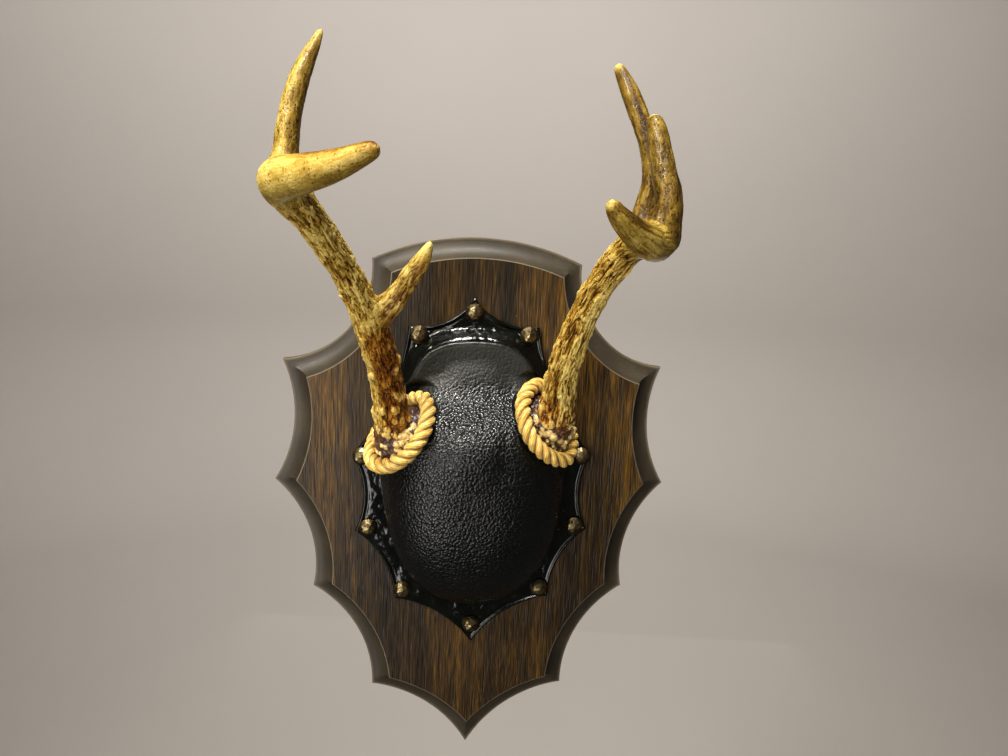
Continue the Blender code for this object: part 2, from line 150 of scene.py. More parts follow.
LEFT_REAR = [
    (-74.0, -146.0, 163.0, 3.0), (-75.0, -146.0, 173.0, 4.6), (-74.0, -144.0, 188.0, 4.2),
    (-71.0, -139.0, 204.0, 3.7), (-67.0, -132.0, 217.0, 2.2), (-65.0, -129.0, 223.0, 0.9),
]
RIGHT_BEAM = [
    (39.0, -39.0, 51.0, 10.5), (40.0, -49.0, 65.0, 9.2), (40.0, -62.0, 83.0, 7.8),
    (41.0, -77.0, 101.0, 7.3), (46.0, -97.0, 125.0, 6.4), (54.0, -124.0, 146.0, 6.6),
    (58.0, -140.0, 151.0, 6.8), (58.0, -154.0, 150.0, 7.2), (52.0, -165.0, 150.0, 6.3),
    (45.0, -172.0, 153.0, 4.9), (39.0, -177.0, 157.0, 3.7), (34.5, -180.0, 162.0, 2.2),
]
RIGHT_FRONT = [
    (58.0, -155.0, 150.0, 4.0), (59.0, -160.0, 154.0, 5.8), (59.5, -161.0, 165.0, 4.9),
    (58.0, -158.0, 175.0, 4.4), (56.0, -153.0, 189.0, 3.6), (55.0, -150.0, 194.5, 2.3),
]
RIGHT_REAR = [
    (57.0, -134.0, 150.0, 3.5), (58.0, -135.0, 160.0, 4.8), (60.0, -135.0, 174.0, 3.8),
    (58.0, -133.0, 188.0, 3.7), (52.0, -127.0, 206.0, 3.6), (47.0, -122.0, 218.0, 1.9),
]
ANTLER_VOXEL = 0.40
BEAM_GIRTH = 8.0
TINE_GIRTH = 5.0

# Stage: a bowl round the mount
STAGE_FLOOR = -800.0
STAGE_REACH = 2900.0
STAGE_BEND = 700.0
STAGE_TOP = 3000.0

# Lamps: name, place and size in metres, watts, colour, aim, spread in degrees
MOUNT = (0.0, -0.05, 0.05)
LAMPS = [
    ("key", (-0.64, -0.72, 0.98), (0.26, 0.22), 3.45, (1.0, 0.94, 0.82), MOUNT, 80.0),
    ("ceiling", (-0.04, -0.38, 1.20), (0.18, 0.14), 3.8, (1.0, 0.97, 0.90), MOUNT, 80.0),
    ("front", (-0.22, -1.25, 0.72), (0.12, 0.12), 0.32, (1.0, 0.96, 0.88), MOUNT, 60.0),
    ("sheen", (-0.70, -1.15, -0.25), (0.6, 0.9), 2.5, (1.0, 0.98, 0.94), MOUNT, 80.0),
    ("fill", (1.3, -1.1, 0.4), (1.2, 1.0), 0.2, (1.0, 0.96, 0.9), MOUNT, 180.0),
    ("back", (0.2, 1.5, -0.3), (1.4, 1.2), 2.6, (1.0, 0.98, 0.94), MOUNT, 110.0),
    ("wall_behind", (0.0, 0.7, 2.4), (2.4, 0.6), 46.0, (1.0, 0.97, 0.94), (0.0, 2.7, 0.3), 110.0),
    ("wall_ahead", (0.0, -0.9, 2.6), (2.4, 0.6), 24.0, (1.0, 0.97, 0.94), (0.0, -2.7, 0.6), 110.0),
]

# Camera: place in metres, turns in degrees and focal length in millimetres, from a fit to
# the plaque's outline in the photograph
CAMERA_PLACE = (-0.0175, -0.4276, 0.1429)
CAMERA_TURNS = (80.91, -1.92, -4.28)
CAMERA_LENS = 27.04

# ---------------------------------------------------------------- meshes and noise


def make_mesh(name, points, faces, smooth=True, attributes=None):
    """Mesh object from points in millimetres, with its float attributes."""
    points = np.asarray(points, float).reshape(-1, 3) * MM
    mesh = bpy.data.meshes.new(name)
    if isinstance(faces, np.ndarray):
        mesh.vertices.add(len(points))
        mesh.vertices.foreach_set("co", points.ravel())
        mesh.loops.add(faces.size)
        mesh.loops.foreach_set("vertex_index", faces.ravel().astype(np.int32))
        mesh.polygons.add(len(faces))
        mesh.polygons.foreach_set("loop_start", np.arange(len(faces)) * faces.shape[1])
        mesh.update(calc_edges=True)
    else:
        mesh.from_pydata(points.tolist(), [], faces)
    mesh.polygons.foreach_set("use_smooth", [smooth] * len(mesh.polygons))
    for key, values in (attributes or {}).items():
        values = np.asarray(values, np.float32)
        layer = mesh.attributes.new(key, "FLOAT" if values.ndim == 1 else "FLOAT_VECTOR", "POINT")
        layer.data.foreach_set("value" if values.ndim == 1 else "vector", values.ravel())
    mesh.validate()
    mesh.update()
    obj = bpy.data.objects.new(name, mesh)
    bpy.context.scene.collection.objects.link(obj)
    return obj


def tube_faces(rings, sides, closed=False):
    """Quads over rings of sides points each, joined into a loop if closed."""
    k = np.arange(rings if closed else rings - 1)[:, None]
    i = np.arange(sides)[None, :]
    here = k * sides
    ahead = (k + 1) % rings * sides
    j = (i + 1) % sides
    return np.stack([here + i, here + j, ahead + j, ahead + i], -1).reshape(-1, 4)


def hashed(cells, seed):
    """Repeatable number from 0 to 255 for each whole-number cell."""
    h = cells @ np.array((374761393, 668265263, 2147483647)) + seed * 144269
    h &= 0xFFFFFFFF
    h = ((h ^ (h >> 13)) * 1274126177) & 0xFFFFFFFF
    return (h ^ (h >> 16)) & 255


SLOPES = np.random.RandomState(7).normal(size=(256, 3))
SLOPES /= np.linalg.norm(SLOPES, axis=1)[:, None]


def noise(points, seed=0):
    """Smooth gradient noise, about -1 to 1, at points whose features are one unit across."""
    points = np.asarray(points, float)
    cell = np.floor(points).astype(np.int64)
    inner = points - cell
    ease = inner ** 3 * (inner * (inner * 6 - 15) + 10)
    total = np.zeros(len(points))
    for corner in np.ndindex(2, 2, 2):
        step = np.array(corner)
        slope = SLOPES[hashed(cell + step, seed)]
        weight = np.prod(np.where(step, ease, 1 - ease), axis=1)
        total += weight * ((inner - step) * slope).sum(1)
    return total * 1.7


def layered(points, seed):
    """Noise over three sizes, each half the size and strength of the one before."""
    total = np.zeros(len(points))
    for k in range(3):
        total += noise(points * 2 ** k, seed + k) / 2 ** k
    return total


def ramp(value, low, high):
    """0 at low, 1 at high, eased between."""
    t = np.clip((value - low) / (high - low), 0.0, 1.0)
    return t * t * (3 - 2 * t)


def soft_max(a, b, width):
    h = np.maximum(width - np.abs(a - b), 0.0) / width
    return np.maximum(a, b) + h * h * width / 4


def soft_min(a, b, width):
    return -soft_max(-a, -b, width)


# ---------------------------------------------------------------- materials


class Paint:
    """A Principled material whose nodes are added one by one."""

    def __init__(self, name, roughness=0.5, metallic=0.0, coat=0.0, coat_rough=0.1):
        self.mat = bpy.data.materials.new(name)
        self.mat.use_nodes = True
        self.tree = self.mat.node_tree
        self.shader = self.tree.nodes["Principled BSDF"]
        self.shader.inputs["Roughness"].default_value = roughness
        self.shader.inputs["Metallic"].default_value = metallic
        self.shader.inputs["Coat Weight"].default_value = coat
        self.shader.inputs["Coat Roughness"].default_value = coat_rough
        self.place = self.add("TexCoord").outputs["Object"]

    def add(self, kind, inputs=None, **settings):
        node = self.tree.nodes.new("ShaderNode" + kind)
        for key, value in settings.items():
            setattr(node, key, value)
        for key, value in (inputs or {}).items():
            self.put(node.inputs[key], value)
        return node

    def put(self, socket, value):
        if isinstance(value, bpy.types.NodeSocket):
            self.tree.links.new(value, socket)
        elif socket.type == "RGBA" and len(value) == 3:
            socket.default_value = (*value, 1.0)
        else:
            socket.default_value = value

    def set(self, name, value):
        self.put(self.shader.inputs[name], value)

    def stretched(self, x, y, z, source=None):
        return self.add("Mapping", {"Vector": source or self.place, "Scale": (x, y, z)}).outputs[0]

    def noise(self, size, detail=2.0, rough=0.5, at=None, warp=0.0):
        """Noise whose features are about size millimetres across."""
        node = self.add("TexNoise", {"Vector": at or self.place, "Scale": 1000.0 / size,
                                     "Detail": detail, "Roughness": rough, "Distortion": warp})
        return node.outputs["Fac"]

    def cells(self, size, at=None):
        """Distance from scattered points about size millimetres apart."""
        node = self.add("TexVoronoi", {"Vector": at or self.place, "Scale": 1000.0 / size})
        return node.outputs["Distance"]

    def attribute(self, name, output="Fac"):
        return self.add("Attribute", attribute_name=name).outputs[output]

    def math(self, how, a, b=0.0):
        return self.add("Math", {0: a, 1: b}, operation=how).outputs[0]

    def times(self, a, b):
        return self.math("MULTIPLY", a, b)

    def less(self, a, b):
        return self.math("SUBTRACT", a, b)

    def weighted(self, *parts):
        """Sum of (value, weight) parts."""
        total = self.times(*parts[0])
        for value, weight in parts[1:]:
            total = self.math("ADD", total, self.times(value, weight))
        return total

    def fit(self, value, low, high, to_low=0.0, to_high=1.0):
        node = self.add("MapRange", {"Value": value, "From Min": low, "From Max": high,
                                     "To Min": to_low, "To Max": to_high})
        return node.outputs[0]

    def blend(self, share, a, b):
        """Colour a turning into colour b as share goes from 0 to 1."""
        node = self.add("Mix", data_type="RGBA")
        self.put(node.inputs[0], share)
        self.put(node.inputs[6], a)
        self.put(node.inputs[7], b)
        return node.outputs[2]

    def steps(self, value, stops):
        """Colour ramp with stops of (place, (r, g, b))."""
        node = self.add("ValToRGB", {"Fac": value})
        line = node.color_ramp.elements
        while len(line) < len(stops):
            line.new(0.5)
        for element, (place, colour) in zip(line, stops):
            element.position = place
            element.color = (*colour, 1.0)
        return node.outputs["Color"]

    def bump(self, height, depth, strength=1.0, under=None):
        """Bump whose height of 1 stands for depth millimetres."""
        inputs = {"Height": height, "Distance": depth * MM, "Strength": strength}
        if under is not None:
            inputs["Normal"] = under
        return self.add("Bump", inputs).outputs["Normal"]


def rgb(red, green, blue):
    """Linear colour from everyday 0 to 255 values."""
    return tuple((v / 255 / 12.92) if v < 10.3 else ((v / 255 + 0.055) / 1.055) ** 2.4
                 for v in (red, green, blue))


def walnut_paint():
    """Satin walnut veneer: upright grain, a dark streak at the top and a V figure near the foot."""
    p = Paint("walnut_veneer", roughness=0.42)
    p.set("Specular IOR Level", 0.32)
    across = p.add("SeparateXYZ", {0: p.place}).outputs
    wide = p.noise(34.0, 3.0, 0.5, p.stretched(1.0, 1.0, 0.12), 0.3)
    band = p.noise(4.5, 3.0, 0.6, p.stretched(1.0, 1.0, 0.035), 0.25)
    fibre = p.noise(0.8, 4.0, 0.7, p.stretched(1.0, 1.0, 0.045))
    pores = p.noise(0.9, 1.0, 0.5, p.stretched(1.0, 1.0, 0.045))
    streak_x = p.less(across[0], 0.016)
    streak = p.times(p.fit(p.math("ABSOLUTE", streak_x), 0.007, 0.001),
                    p.times(p.fit(across[2], 0.070, 0.100), p.fit(band, 0.40, 0.55)))
    apex = p.math("ABSOLUTE", p.less(across[0], 0.018))
    nested = p.less(across[2], p.times(apex, 4.5))
    figure = p.add("TexNoise", {"W": nested, "Scale": 230.0, "Detail": 2.0},
                   noise_dimensions="1D").outputs[0]
    near = p.times(p.fit(apex, 0.022, 0.010), p.fit(across[2], -0.085, -0.110))
    figure = p.times(p.fit(figure, 0.48, 0.62), near)
    tone = p.weighted((wide, 0.34), (band, 0.20), (p.less(fibre, 0.08), 0.54), (streak, -0.13),
                      (figure, -0.10))
    colour = p.steps(tone, [
        (0.38, rgb(12, 7, 1)), (0.45, rgb(29, 18, 2)), (0.50, rgb(45, 30, 5)),
        (0.56, rgb(71, 48, 10)), (0.64, rgb(104, 75, 24))])
    pore = p.fit(pores, 0.55, 0.65)
    colour = p.blend(p.times(pore, 0.75), colour, rgb(20, 12, 6))
    specks = p.cells(7.0, at=p.stretched(1.0, 1.0, 0.6))
    dust = p.times(p.fit(specks, 0.06, 0.03), p.fit(p.noise(45.0, 1.0), 0.54, 0.60))
    colour = p.blend(p.times(dust, 0.6), colour, rgb(140, 128, 100))
    p.set("Base Color", colour)
    p.set("Roughness", p.fit(fibre, 0.3, 0.7, 0.34, 0.46))
    relief = p.less(p.times(fibre, 0.7), pore)
    p.set("Normal", p.bump(relief, 0.12, 0.9))
    return p.mat


def edge_paint():
    """Matte grey-brown paint in the cove, with the cutter's faint streaks and a painted highlight along
    its arrises.
    """
    p = Paint("edge_paint", roughness=0.5)
    p.set("Specular IOR Level", 0.35)
    cloud = p.noise(24.0, 3.0)
    fine = p.noise(1.1, 2.0)
    tone = p.weighted((cloud, 0.7), (fine, 0.3))
    colour = p.steps(tone, [(0.3, rgb(38, 32, 24)), (0.5, rgb(50, 43, 32)), (0.7, rgb(62, 54, 40))])
    # Painted highlight: pale paint along the board's arrises, strength per profile step.
    colour = p.blend(p.times(p.attribute("arris_highlight"), 0.5), colour, rgb(134, 120, 98))
    p.set("Base Color", colour)
    p.set("Roughness", p.fit(fine, 0.3, 0.7, 0.42, 0.58))
    p.set("Normal", p.bump(fine, 0.06, 0.5))
    return p.mat


def back_paint():
    """Bare pressed-fibre back of the board."""
    p = Paint("board_back", roughness=0.85)
    fine = p.noise(0.7, 3.0, 0.7)
    cloud = p.noise(30.0, 3.0)
    tone = p.weighted((fine, 0.85), (cloud, 0.15))
    p.set("Base Color", p.steps(tone, [
        (0.35, rgb(112, 82, 54)), (0.5, rgb(146, 112, 78)), (0.66, rgb(174, 140, 104))]))
    p.set("Normal", p.bump(fine, 0.12, 0.6))
    return p.mat


def cover_paint():
    """Black leather-look moulding: glossy and lumpy near its edge, pebbled on its crown, with painted
    shade in the pebbles' creases.
    """
    p = Paint("cover_black")
    grain = p.attribute("grain")
    bead = p.cells(1.45)
    fine = p.noise(0.5, 2.0)
    black = p.steps(p.noise(9.0, 3.0), [(0.35, rgb(3, 4, 3)), (0.65, rgb(8, 9, 6))])
    matte = p.times(p.fit(p.attribute("rough"), 0.20, 0.48), p.noise(1.2, 3.0, 0.7))
    # Painted shade: the creases between pebbles are darkened to near black, and also made rougher.
    shaded_crease = p.times(grain, p.fit(bead, 0.26, 0.56))
    p.set("Base Color", p.blend(shaded_crease, p.blend(matte, black, rgb(34, 36, 28)), rgb(2, 2, 2)))
    p.set("Roughness", p.weighted((p.attribute("rough"), 1.0), (shaded_crease, 0.24)))
    p.set("Specular IOR Level", 0.40)
    relief = p.less(1.0, p.times(bead, bead))
    coarse = p.bump(p.times(relief, grain), 0.46)
    p.set("Normal", p.bump(fine, 0.05, 0.9, coarse))
    return p.mat


def brass_paint():
    """Aged hammered bronze, darker towards the foot of each head."""
    p = Paint("aged_bronze", metallic=1.0)
    patch = p.noise(2.2, 3.0, 0.6)
    colour = p.steps(patch, [
        (0.35, rgb(64, 54, 36)), (0.5, rgb(112, 97, 68)), (0.66, rgb(172, 152, 110))])
    p.set("Base Color", p.blend(p.attribute("foot"), colour, rgb(40, 32, 22)))
    p.set("Roughness", p.fit(patch, 0.35, 0.65, 0.50, 0.28))
    p.set("Normal", p.bump(p.noise(0.5, 2.0), 0.06, 0.7))
    return p.mat


def rope_paint():
    """Golden cord with fine lengthwise threads, orange patches and painted shade, dark brown, in the lay
    between strands.
    """
    p = Paint("trim_rope", roughness=0.5, coat=0.1, coat_rough=0.3)
    thread = p.attribute("thread")
    tone = p.weighted((p.noise(3.0, 3.0), 0.45), (thread, 0.55))
    colour = p.steps(tone, [
        (0.22, rgb(146, 100, 30)), (0.42, rgb(198, 157, 66)), (0.60, rgb(224, 189, 94)),
        (0.80, rgb(242, 216, 134))])
    stain = p.fit(p.noise(7.0, 2.0), 0.56, 0.68)
    colour = p.blend(p.times(stain, 0.55), colour, rgb(204, 142, 46))
    # Painted shade: dark brown in the grooves between strands.
    p.set("Base Color", p.blend(p.attribute("lay"), colour, rgb(92, 52, 12)))
    p.set("Roughness", p.fit(thread, 0.0, 1.0, 0.58, 0.38))
    p.set("Sheen Weight", 0.1)
    p.set("Normal", p.bump(p.noise(0.4, 2.0), 0.06, 0.5))
    return p.mat


def antler_paint():
    """Stained antler: golden, olive or amber by attribute, from cream ridges to dark grooves, with
    painted shade carried in the tone, olive and amber attributes.
    """
    p = Paint("antler_horn", coat=0.08, coat_rough=0.12)
    p.set("Specular IOR Level", 0.18)
    fine = p.noise(0.6, 3.0, 0.65)
    unrolled = p.attribute("unrolled", "Vector")
    streak = p.noise(0.9, 3.0, 0.6, p.stretched(1.0, 1.0, 0.2, unrolled), 0.3)
    rough = p.attribute("rough")
    split = p.times(p.fit(streak, 0.54, 0.66), rough)
    pits = p.fit(p.cells(1.1, at=p.stretched(1.0, 1.0, 0.6)), 0.34, 0.14)
    spots = p.times(pits, p.fit(p.noise(4.0, 2.0), 0.44, 0.58))
    tone = p.weighted((p.attribute("tone"), 1.0), (p.less(fine, 0.5), 0.50), (spots, 0.26), (split, 0.28),
                      (p.less(streak, 0.5), p.fit(rough, 0.0, 1.0, 0.24, 0.45)))
    golden = p.steps(tone, [
        (0.05, rgb(222, 197, 112)), (0.27, rgb(188, 156, 68)), (0.47, rgb(142, 106, 32)),
        (0.68, rgb(98, 61, 13)), (0.90, rgb(50, 27, 5))])
    olive = p.steps(tone, [
        (0.05, rgb(206, 187, 112)), (0.27, rgb(162, 138, 62)), (0.47, rgb(114, 90, 28)),
        (0.68, rgb(76, 56, 15)), (0.90, rgb(40, 27, 7))])
    amber = p.steps(tone, [
        (0.05, rgb(218, 188, 106)), (0.27, rgb(180, 128, 42)), (0.47, rgb(122, 68, 14)),
        (0.68, rgb(70, 33, 6)), (0.90, rgb(26, 11, 3))])
    colour = p.blend(p.attribute("olive"), golden, olive)
    p.set("Base Color", p.blend(p.attribute("amber"), colour, amber))
    p.set("Roughness", p.fit(p.attribute("gloss"), 0.0, 1.0, 0.52, 0.14))
    relief = p.less(p.times(fine, 0.6), p.math("MAXIMUM", spots, split))
    p.set("Normal", p.bump(relief, 0.22, 0.9))
    return p.mat


def burr_paint():
    """Purple-brown burr, turning amber where it runs up the beam, with cream pearls."""
    p = Paint("burr_bone", coat=0.2, coat_rough=0.2)
    pearl = p.attribute("pearl")
    fine = p.noise(0.6, 3.0, 0.6)
    cloud = p.noise(3.5, 3.0)
    mix = p.weighted((cloud, 0.6), (fine, 0.4))
    flesh = p.steps(mix, [(0.34, rgb(26, 11, 8)), (0.5, rgb(58, 32, 26)), (0.68, rgb(112, 86, 72))])
    horn = p.steps(mix, [(0.36, rgb(40, 17, 5)), (0.5, rgb(88, 48, 13)), (0.66, rgb(178, 132, 56))])
    cream = p.steps(mix, [(0.36, rgb(190, 154, 84)), (0.6, rgb(236, 212, 146))])
    ground = p.blend(p.attribute("climb"), flesh, horn)
    p.set("Base Color", p.blend(pearl, ground, cream))
    p.set("Roughness", p.fit(pearl, 0.0, 1.0, 0.34, 0.46))
    p.set("Normal", p.bump(fine, 0.16, 0.9))
    return p.mat


# ---------------------------------------------------------------- plaque


def arc_circle(p, q, sagitta, bulge):
    """Circle through p and q.  bulge +1 puts the arc left of p to q, -1 puts it right."""
    chord = math.hypot(q[0] - p[0], q[1] - p[1])
    radius = (chord * chord / 4 + sagitta * sagitta) / (2 * sagitta)
    normal = (-(q[1] - p[1]) / chord, (q[0] - p[0]) / chord)
    back = (radius - sagitta) * bulge
    centre = ((p[0] + q[0]) / 2 - normal[0] * back, (p[1] + q[1]) / 2 - normal[1] * back)
    return centre, radius


def circle_meet(c0, r0, c1, r1, near):
    gap = math.hypot(c1[0] - c0[0], c1[1] - c0[1])
    along = (r0 * r0 - r1 * r1 + gap * gap) / (2 * gap)
    side = math.sqrt(max(r0 * r0 - along * along, 0.0))
    ux = (c1[0] - c0[0]) / gap
    uz = (c1[1] - c0[1]) / gap
    first = (c0[0] + along * ux - side * uz, c0[1] + along * uz + side * ux)
    second = (c0[0] + along * ux + side * uz, c0[1] + along * uz - side * ux)
    return min(first, second, key=lambda point: math.dist(point, near))


def arc_points(centre, radius, p, q, steps):
    start = math.atan2(p[1] - centre[1], p[0] - centre[0])
    turn = math.atan2(q[1] - centre[1], q[0] - centre[0]) - start
    turn = (turn + math.pi) % (2 * math.pi) - math.pi
    angles = start + turn * np.arange(steps) / steps
    return np.column_stack([np.cos(angles), np.sin(angles)]) * radius + centre


def cusped_outline(corners, sagittas, bulges, steps, inset=0.0):
    """Clockwise arcs between corners, moved inwards by inset."""
    circles = []
    for k, corner in enumerate(corners):
        centre, radius = arc_circle(corner, corners[(k + 1) % len(corners)], sagittas[k], bulges[k])
        circles.append((centre, radius - bulges[k] * inset))
    moved = [circle_meet(*circles[k - 1], *circles[k], corner) for k, corner in enumerate(corners)]
    arcs = [arc_points(*circle, moved[k], moved[(k + 1) % len(moved)], steps)
            for k, circle in enumerate(circles)]
    return np.vstack(arcs)


def plaque_outline(inset):
    left = [(-x, z) for x, z in reversed(PLAQUE_HALF)]
    corners = [left[-1]] + PLAQUE_HALF + [(0.0, PLAQUE_FOOT)] + left[:-1]
    sagittas = [TOP_BULGE] + SIDE_BITES + SIDE_BITES[::-1]
    return cusped_outline(corners, sagittas, [1] + [-1] * 10, ARC_STEPS, inset)


def flange_outline():
    left = [(-x, z) for x, z in reversed(FLANGE_HALF)]
    corners = [(0.0, FLANGE_TOP)] + FLANGE_HALF + [(0.0, FLANGE_FOOT)] + left
    return cusped_outline(corners, [FLANGE_BITE] * 10, [-1] * 10, ARC_STEPS * 2)


def build_plaque():
    """Board with a routed cove, softened arrises and three finishes."""
    # Third value of each profile step: how much painted highlight its arris gets.
    profile = [(0.5, 0.0, 0.0), (0.15, -0.15, 0.3), (0.0, -0.5, 0.5)]
    side = PLAQUE_THICK - COVE_DEPTH
    profile += [(0.0, -side + 0.6, 0.3), (0.12, -side + 0.15, 1.0), (0.4, -side - 0.15, 0.8)]
    for k in range(2, COVE_STEPS):
        angle = 0.5 * math.pi * k / COVE_STEPS
        y = -PLAQUE_THICK + COVE_DEPTH * math.cos(angle)
        profile.append((COVE_WIDTH * math.sin(angle), y, 0.0))
    for past, under, arris_shine in ((0.05, 0.45, 0.7), (0.2, 0.12, 1.0), (0.6, 0.0, 0.6)):
        profile.append((COVE_WIDTH + past, -PLAQUE_THICK + under, arris_shine))
    rings = []
    arris_highlight = []
    for inset, y, arris_shine in profile:
        outline = plaque_outline(inset)
        rings.append(np.column_stack([outline[:, 0], np.full(len(outline), y), outline[:, 1]]))
        arris_highlight += [arris_shine] * len(outline)
    sides = len(rings[0])
    faces = [tuple(f) for f in tube_faces(len(rings), sides)[:, ::-1]]
    front = len(faces)
    last = (len(rings) - 1) * sides
    faces.append(tuple(range(last, last + sides)))
    faces.append(tuple(range(sides))[::-1])
    obj = make_mesh("plaque", np.vstack(rings), faces, True, {"arris_highlight": arris_highlight})
    for mat in (edge_paint(), walnut_paint(), back_paint()):
        obj.data.materials.append(mat)
    obj.data.polygons[front].material_index = 1
    obj.data.polygons[front + 1].material_index = 2
    obj.data.set_sharp_from_angle(angle=math.radians(38))
    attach(obj, "root")
    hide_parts("plaque_board")


# ---------------------------------------------------------------- skull cover


def place_on_cover(x, z):
    turn = math.radians(COVER_TILT)
    px = COVER_X + x * math.cos(turn) - z * math.sin(turn)
    pz = COVER_Z + x * math.sin(turn) + z * math.cos(turn)
    return px, pz


def ring_frame(spec):
    """Centre, axis and the two directions across the ring."""
    centre, bearing, rise = spec
    az = math.radians(bearing)
    el = math.radians(rise)
    axis = np.array((math.sin(az) * math.cos(el), -math.cos(az) * math.cos(el), math.sin(el)))
    across = np.array((math.cos(az), math.sin(az), 0.0))
    return np.array(centre), axis, across, np.cross(axis, across)


def seat_plane(spec, x, z):
    """Height of the ring's seat above the plaque face, and distance from its centre."""
    centre, axis = ring_frame(spec)[:2]
    seat = centre - axis * (ROPE_RADIUS + GAP)
    y = seat[1] - (axis[0] * (x - seat[0]) + axis[2] * (z - seat[2])) / axis[1]
    away = np.sqrt((x - seat[0]) ** 2 + (y - seat[1]) ** 2 + (z - seat[2]) ** 2)
    return -y - PLAQUE_THICK, away


def inside_outline(outline, x, z):
    """How far the points (x, z) are inside the closed outline, negative outside."""
    inside = np.zeros(len(x), bool)
    nearest = np.full(len(x), 1.0e9)
    for p, q in zip(outline, np.roll(outline, -1, axis=0)):
        crosses = (p[1] > z) != (q[1] > z)
        if p[1] != q[1]:
            inside ^= crosses & (x < p[0] + (z - p[1]) / (q[1] - p[1]) * (q[0] - p[0]))
        dx, dz = q - p
        t = np.clip(((x - p[0]) * dx + (z - p[1]) * dz) / (dx * dx + dz * dz), 0.0, 1.0)
        nearest = np.minimum(nearest, np.hypot(x - p[0] - t * dx, z - p[1] - t * dz))
    return np.where(inside, nearest, -nearest)


def rounded(outline, rounds=2):
    """Outline with its corners cut round after round."""
    for k in range(rounds):
        ahead = np.roll(outline, -1, axis=0)
        pairs = [outline * 0.75 + ahead * 0.25, outline * 0.25 + ahead * 0.75]
        outline = np.stack(pairs, 1).reshape(-1, 2)
    return outline


def dome_outline():
    half = SHELF_HALF + DOME_HALF + DOME_FOOT_HALF
    mirror = [(-x, z) for x, z in reversed(half) if x > 0.0]
    return rounded(np.array(half + [(0.0, DOME_FOOT)] + mirror))


def cover_height(x, z, depth):
    """Height of the cover above the plaque face at points depth inside the dome's foot."""
    rim = np.clip(depth / 3.5, 0.0, 1.0)
    shelf = SHELF_HEIGHT - 2.0 + 2.0 * rim * (2 - rim)
    low = ramp(z, -10.0, -60.0)
    power = DOME_POWER - 0.45 * low
    s = np.abs(x / DOME_WIDE) ** power + np.abs((z - DOME_MID) / DOME_LONG) ** power
    dome = DOME_HEIGHT * np.maximum(0.0, 1.0 - s) ** (0.5 + 0.35 * ramp(z, 25.0, 52.0))
    s = np.abs(x / BROW_WIDE) ** BROW_POWER + np.abs((z - BROW_MID) / BROW_LONG) ** BROW_LONG_POWER
    brow = BROW_HEIGHT * np.maximum(0.0, 1.0 - s) ** BROW_SLOPE
    slope = SHELF_HEIGHT + SADDLE_RISE * ramp(z, SADDLE_TOP, SADDLE_FOOT)
    crown = soft_min(soft_max(dome, brow, CROWN_BLEND), slope, SADDLE_BLEND)
    px, pz = place_on_cover(x, z)
    height = soft_max(crown, shelf, BLEND * (3 + 2 * ramp(z, 20.0, 45.0)))
    for spec in (RING_LEFT, RING_RIGHT):
        plane, away = seat_plane(spec, px, pz)
        cut = soft_min(height, plane + np.maximum(0.0, away - SEAT_RADIUS) * SEAT_SLOPE, BLEND * 2)
        height = np.where(away < SEAT_RADIUS + SEAT_REACH, cut, height)
        boss = np.where(away < BOSS_RADIUS, plane, plane - (away - BOSS_RADIUS) * BOSS_SLOPE)
        height = np.where(plane > 0.0, np.maximum(height, boss), height)
    wall = FLANGE_THICK + np.maximum(depth, 0.0) * WALL_SLOPE
    wall = wall + WALL_LIFT * ramp(depth, -WALL_FLARE, 1.0) * ramp(z, 10.0, 45.0)
    return np.maximum(np.where(depth > 0.0, np.minimum(height, wall), wall), FLANGE_THICK)


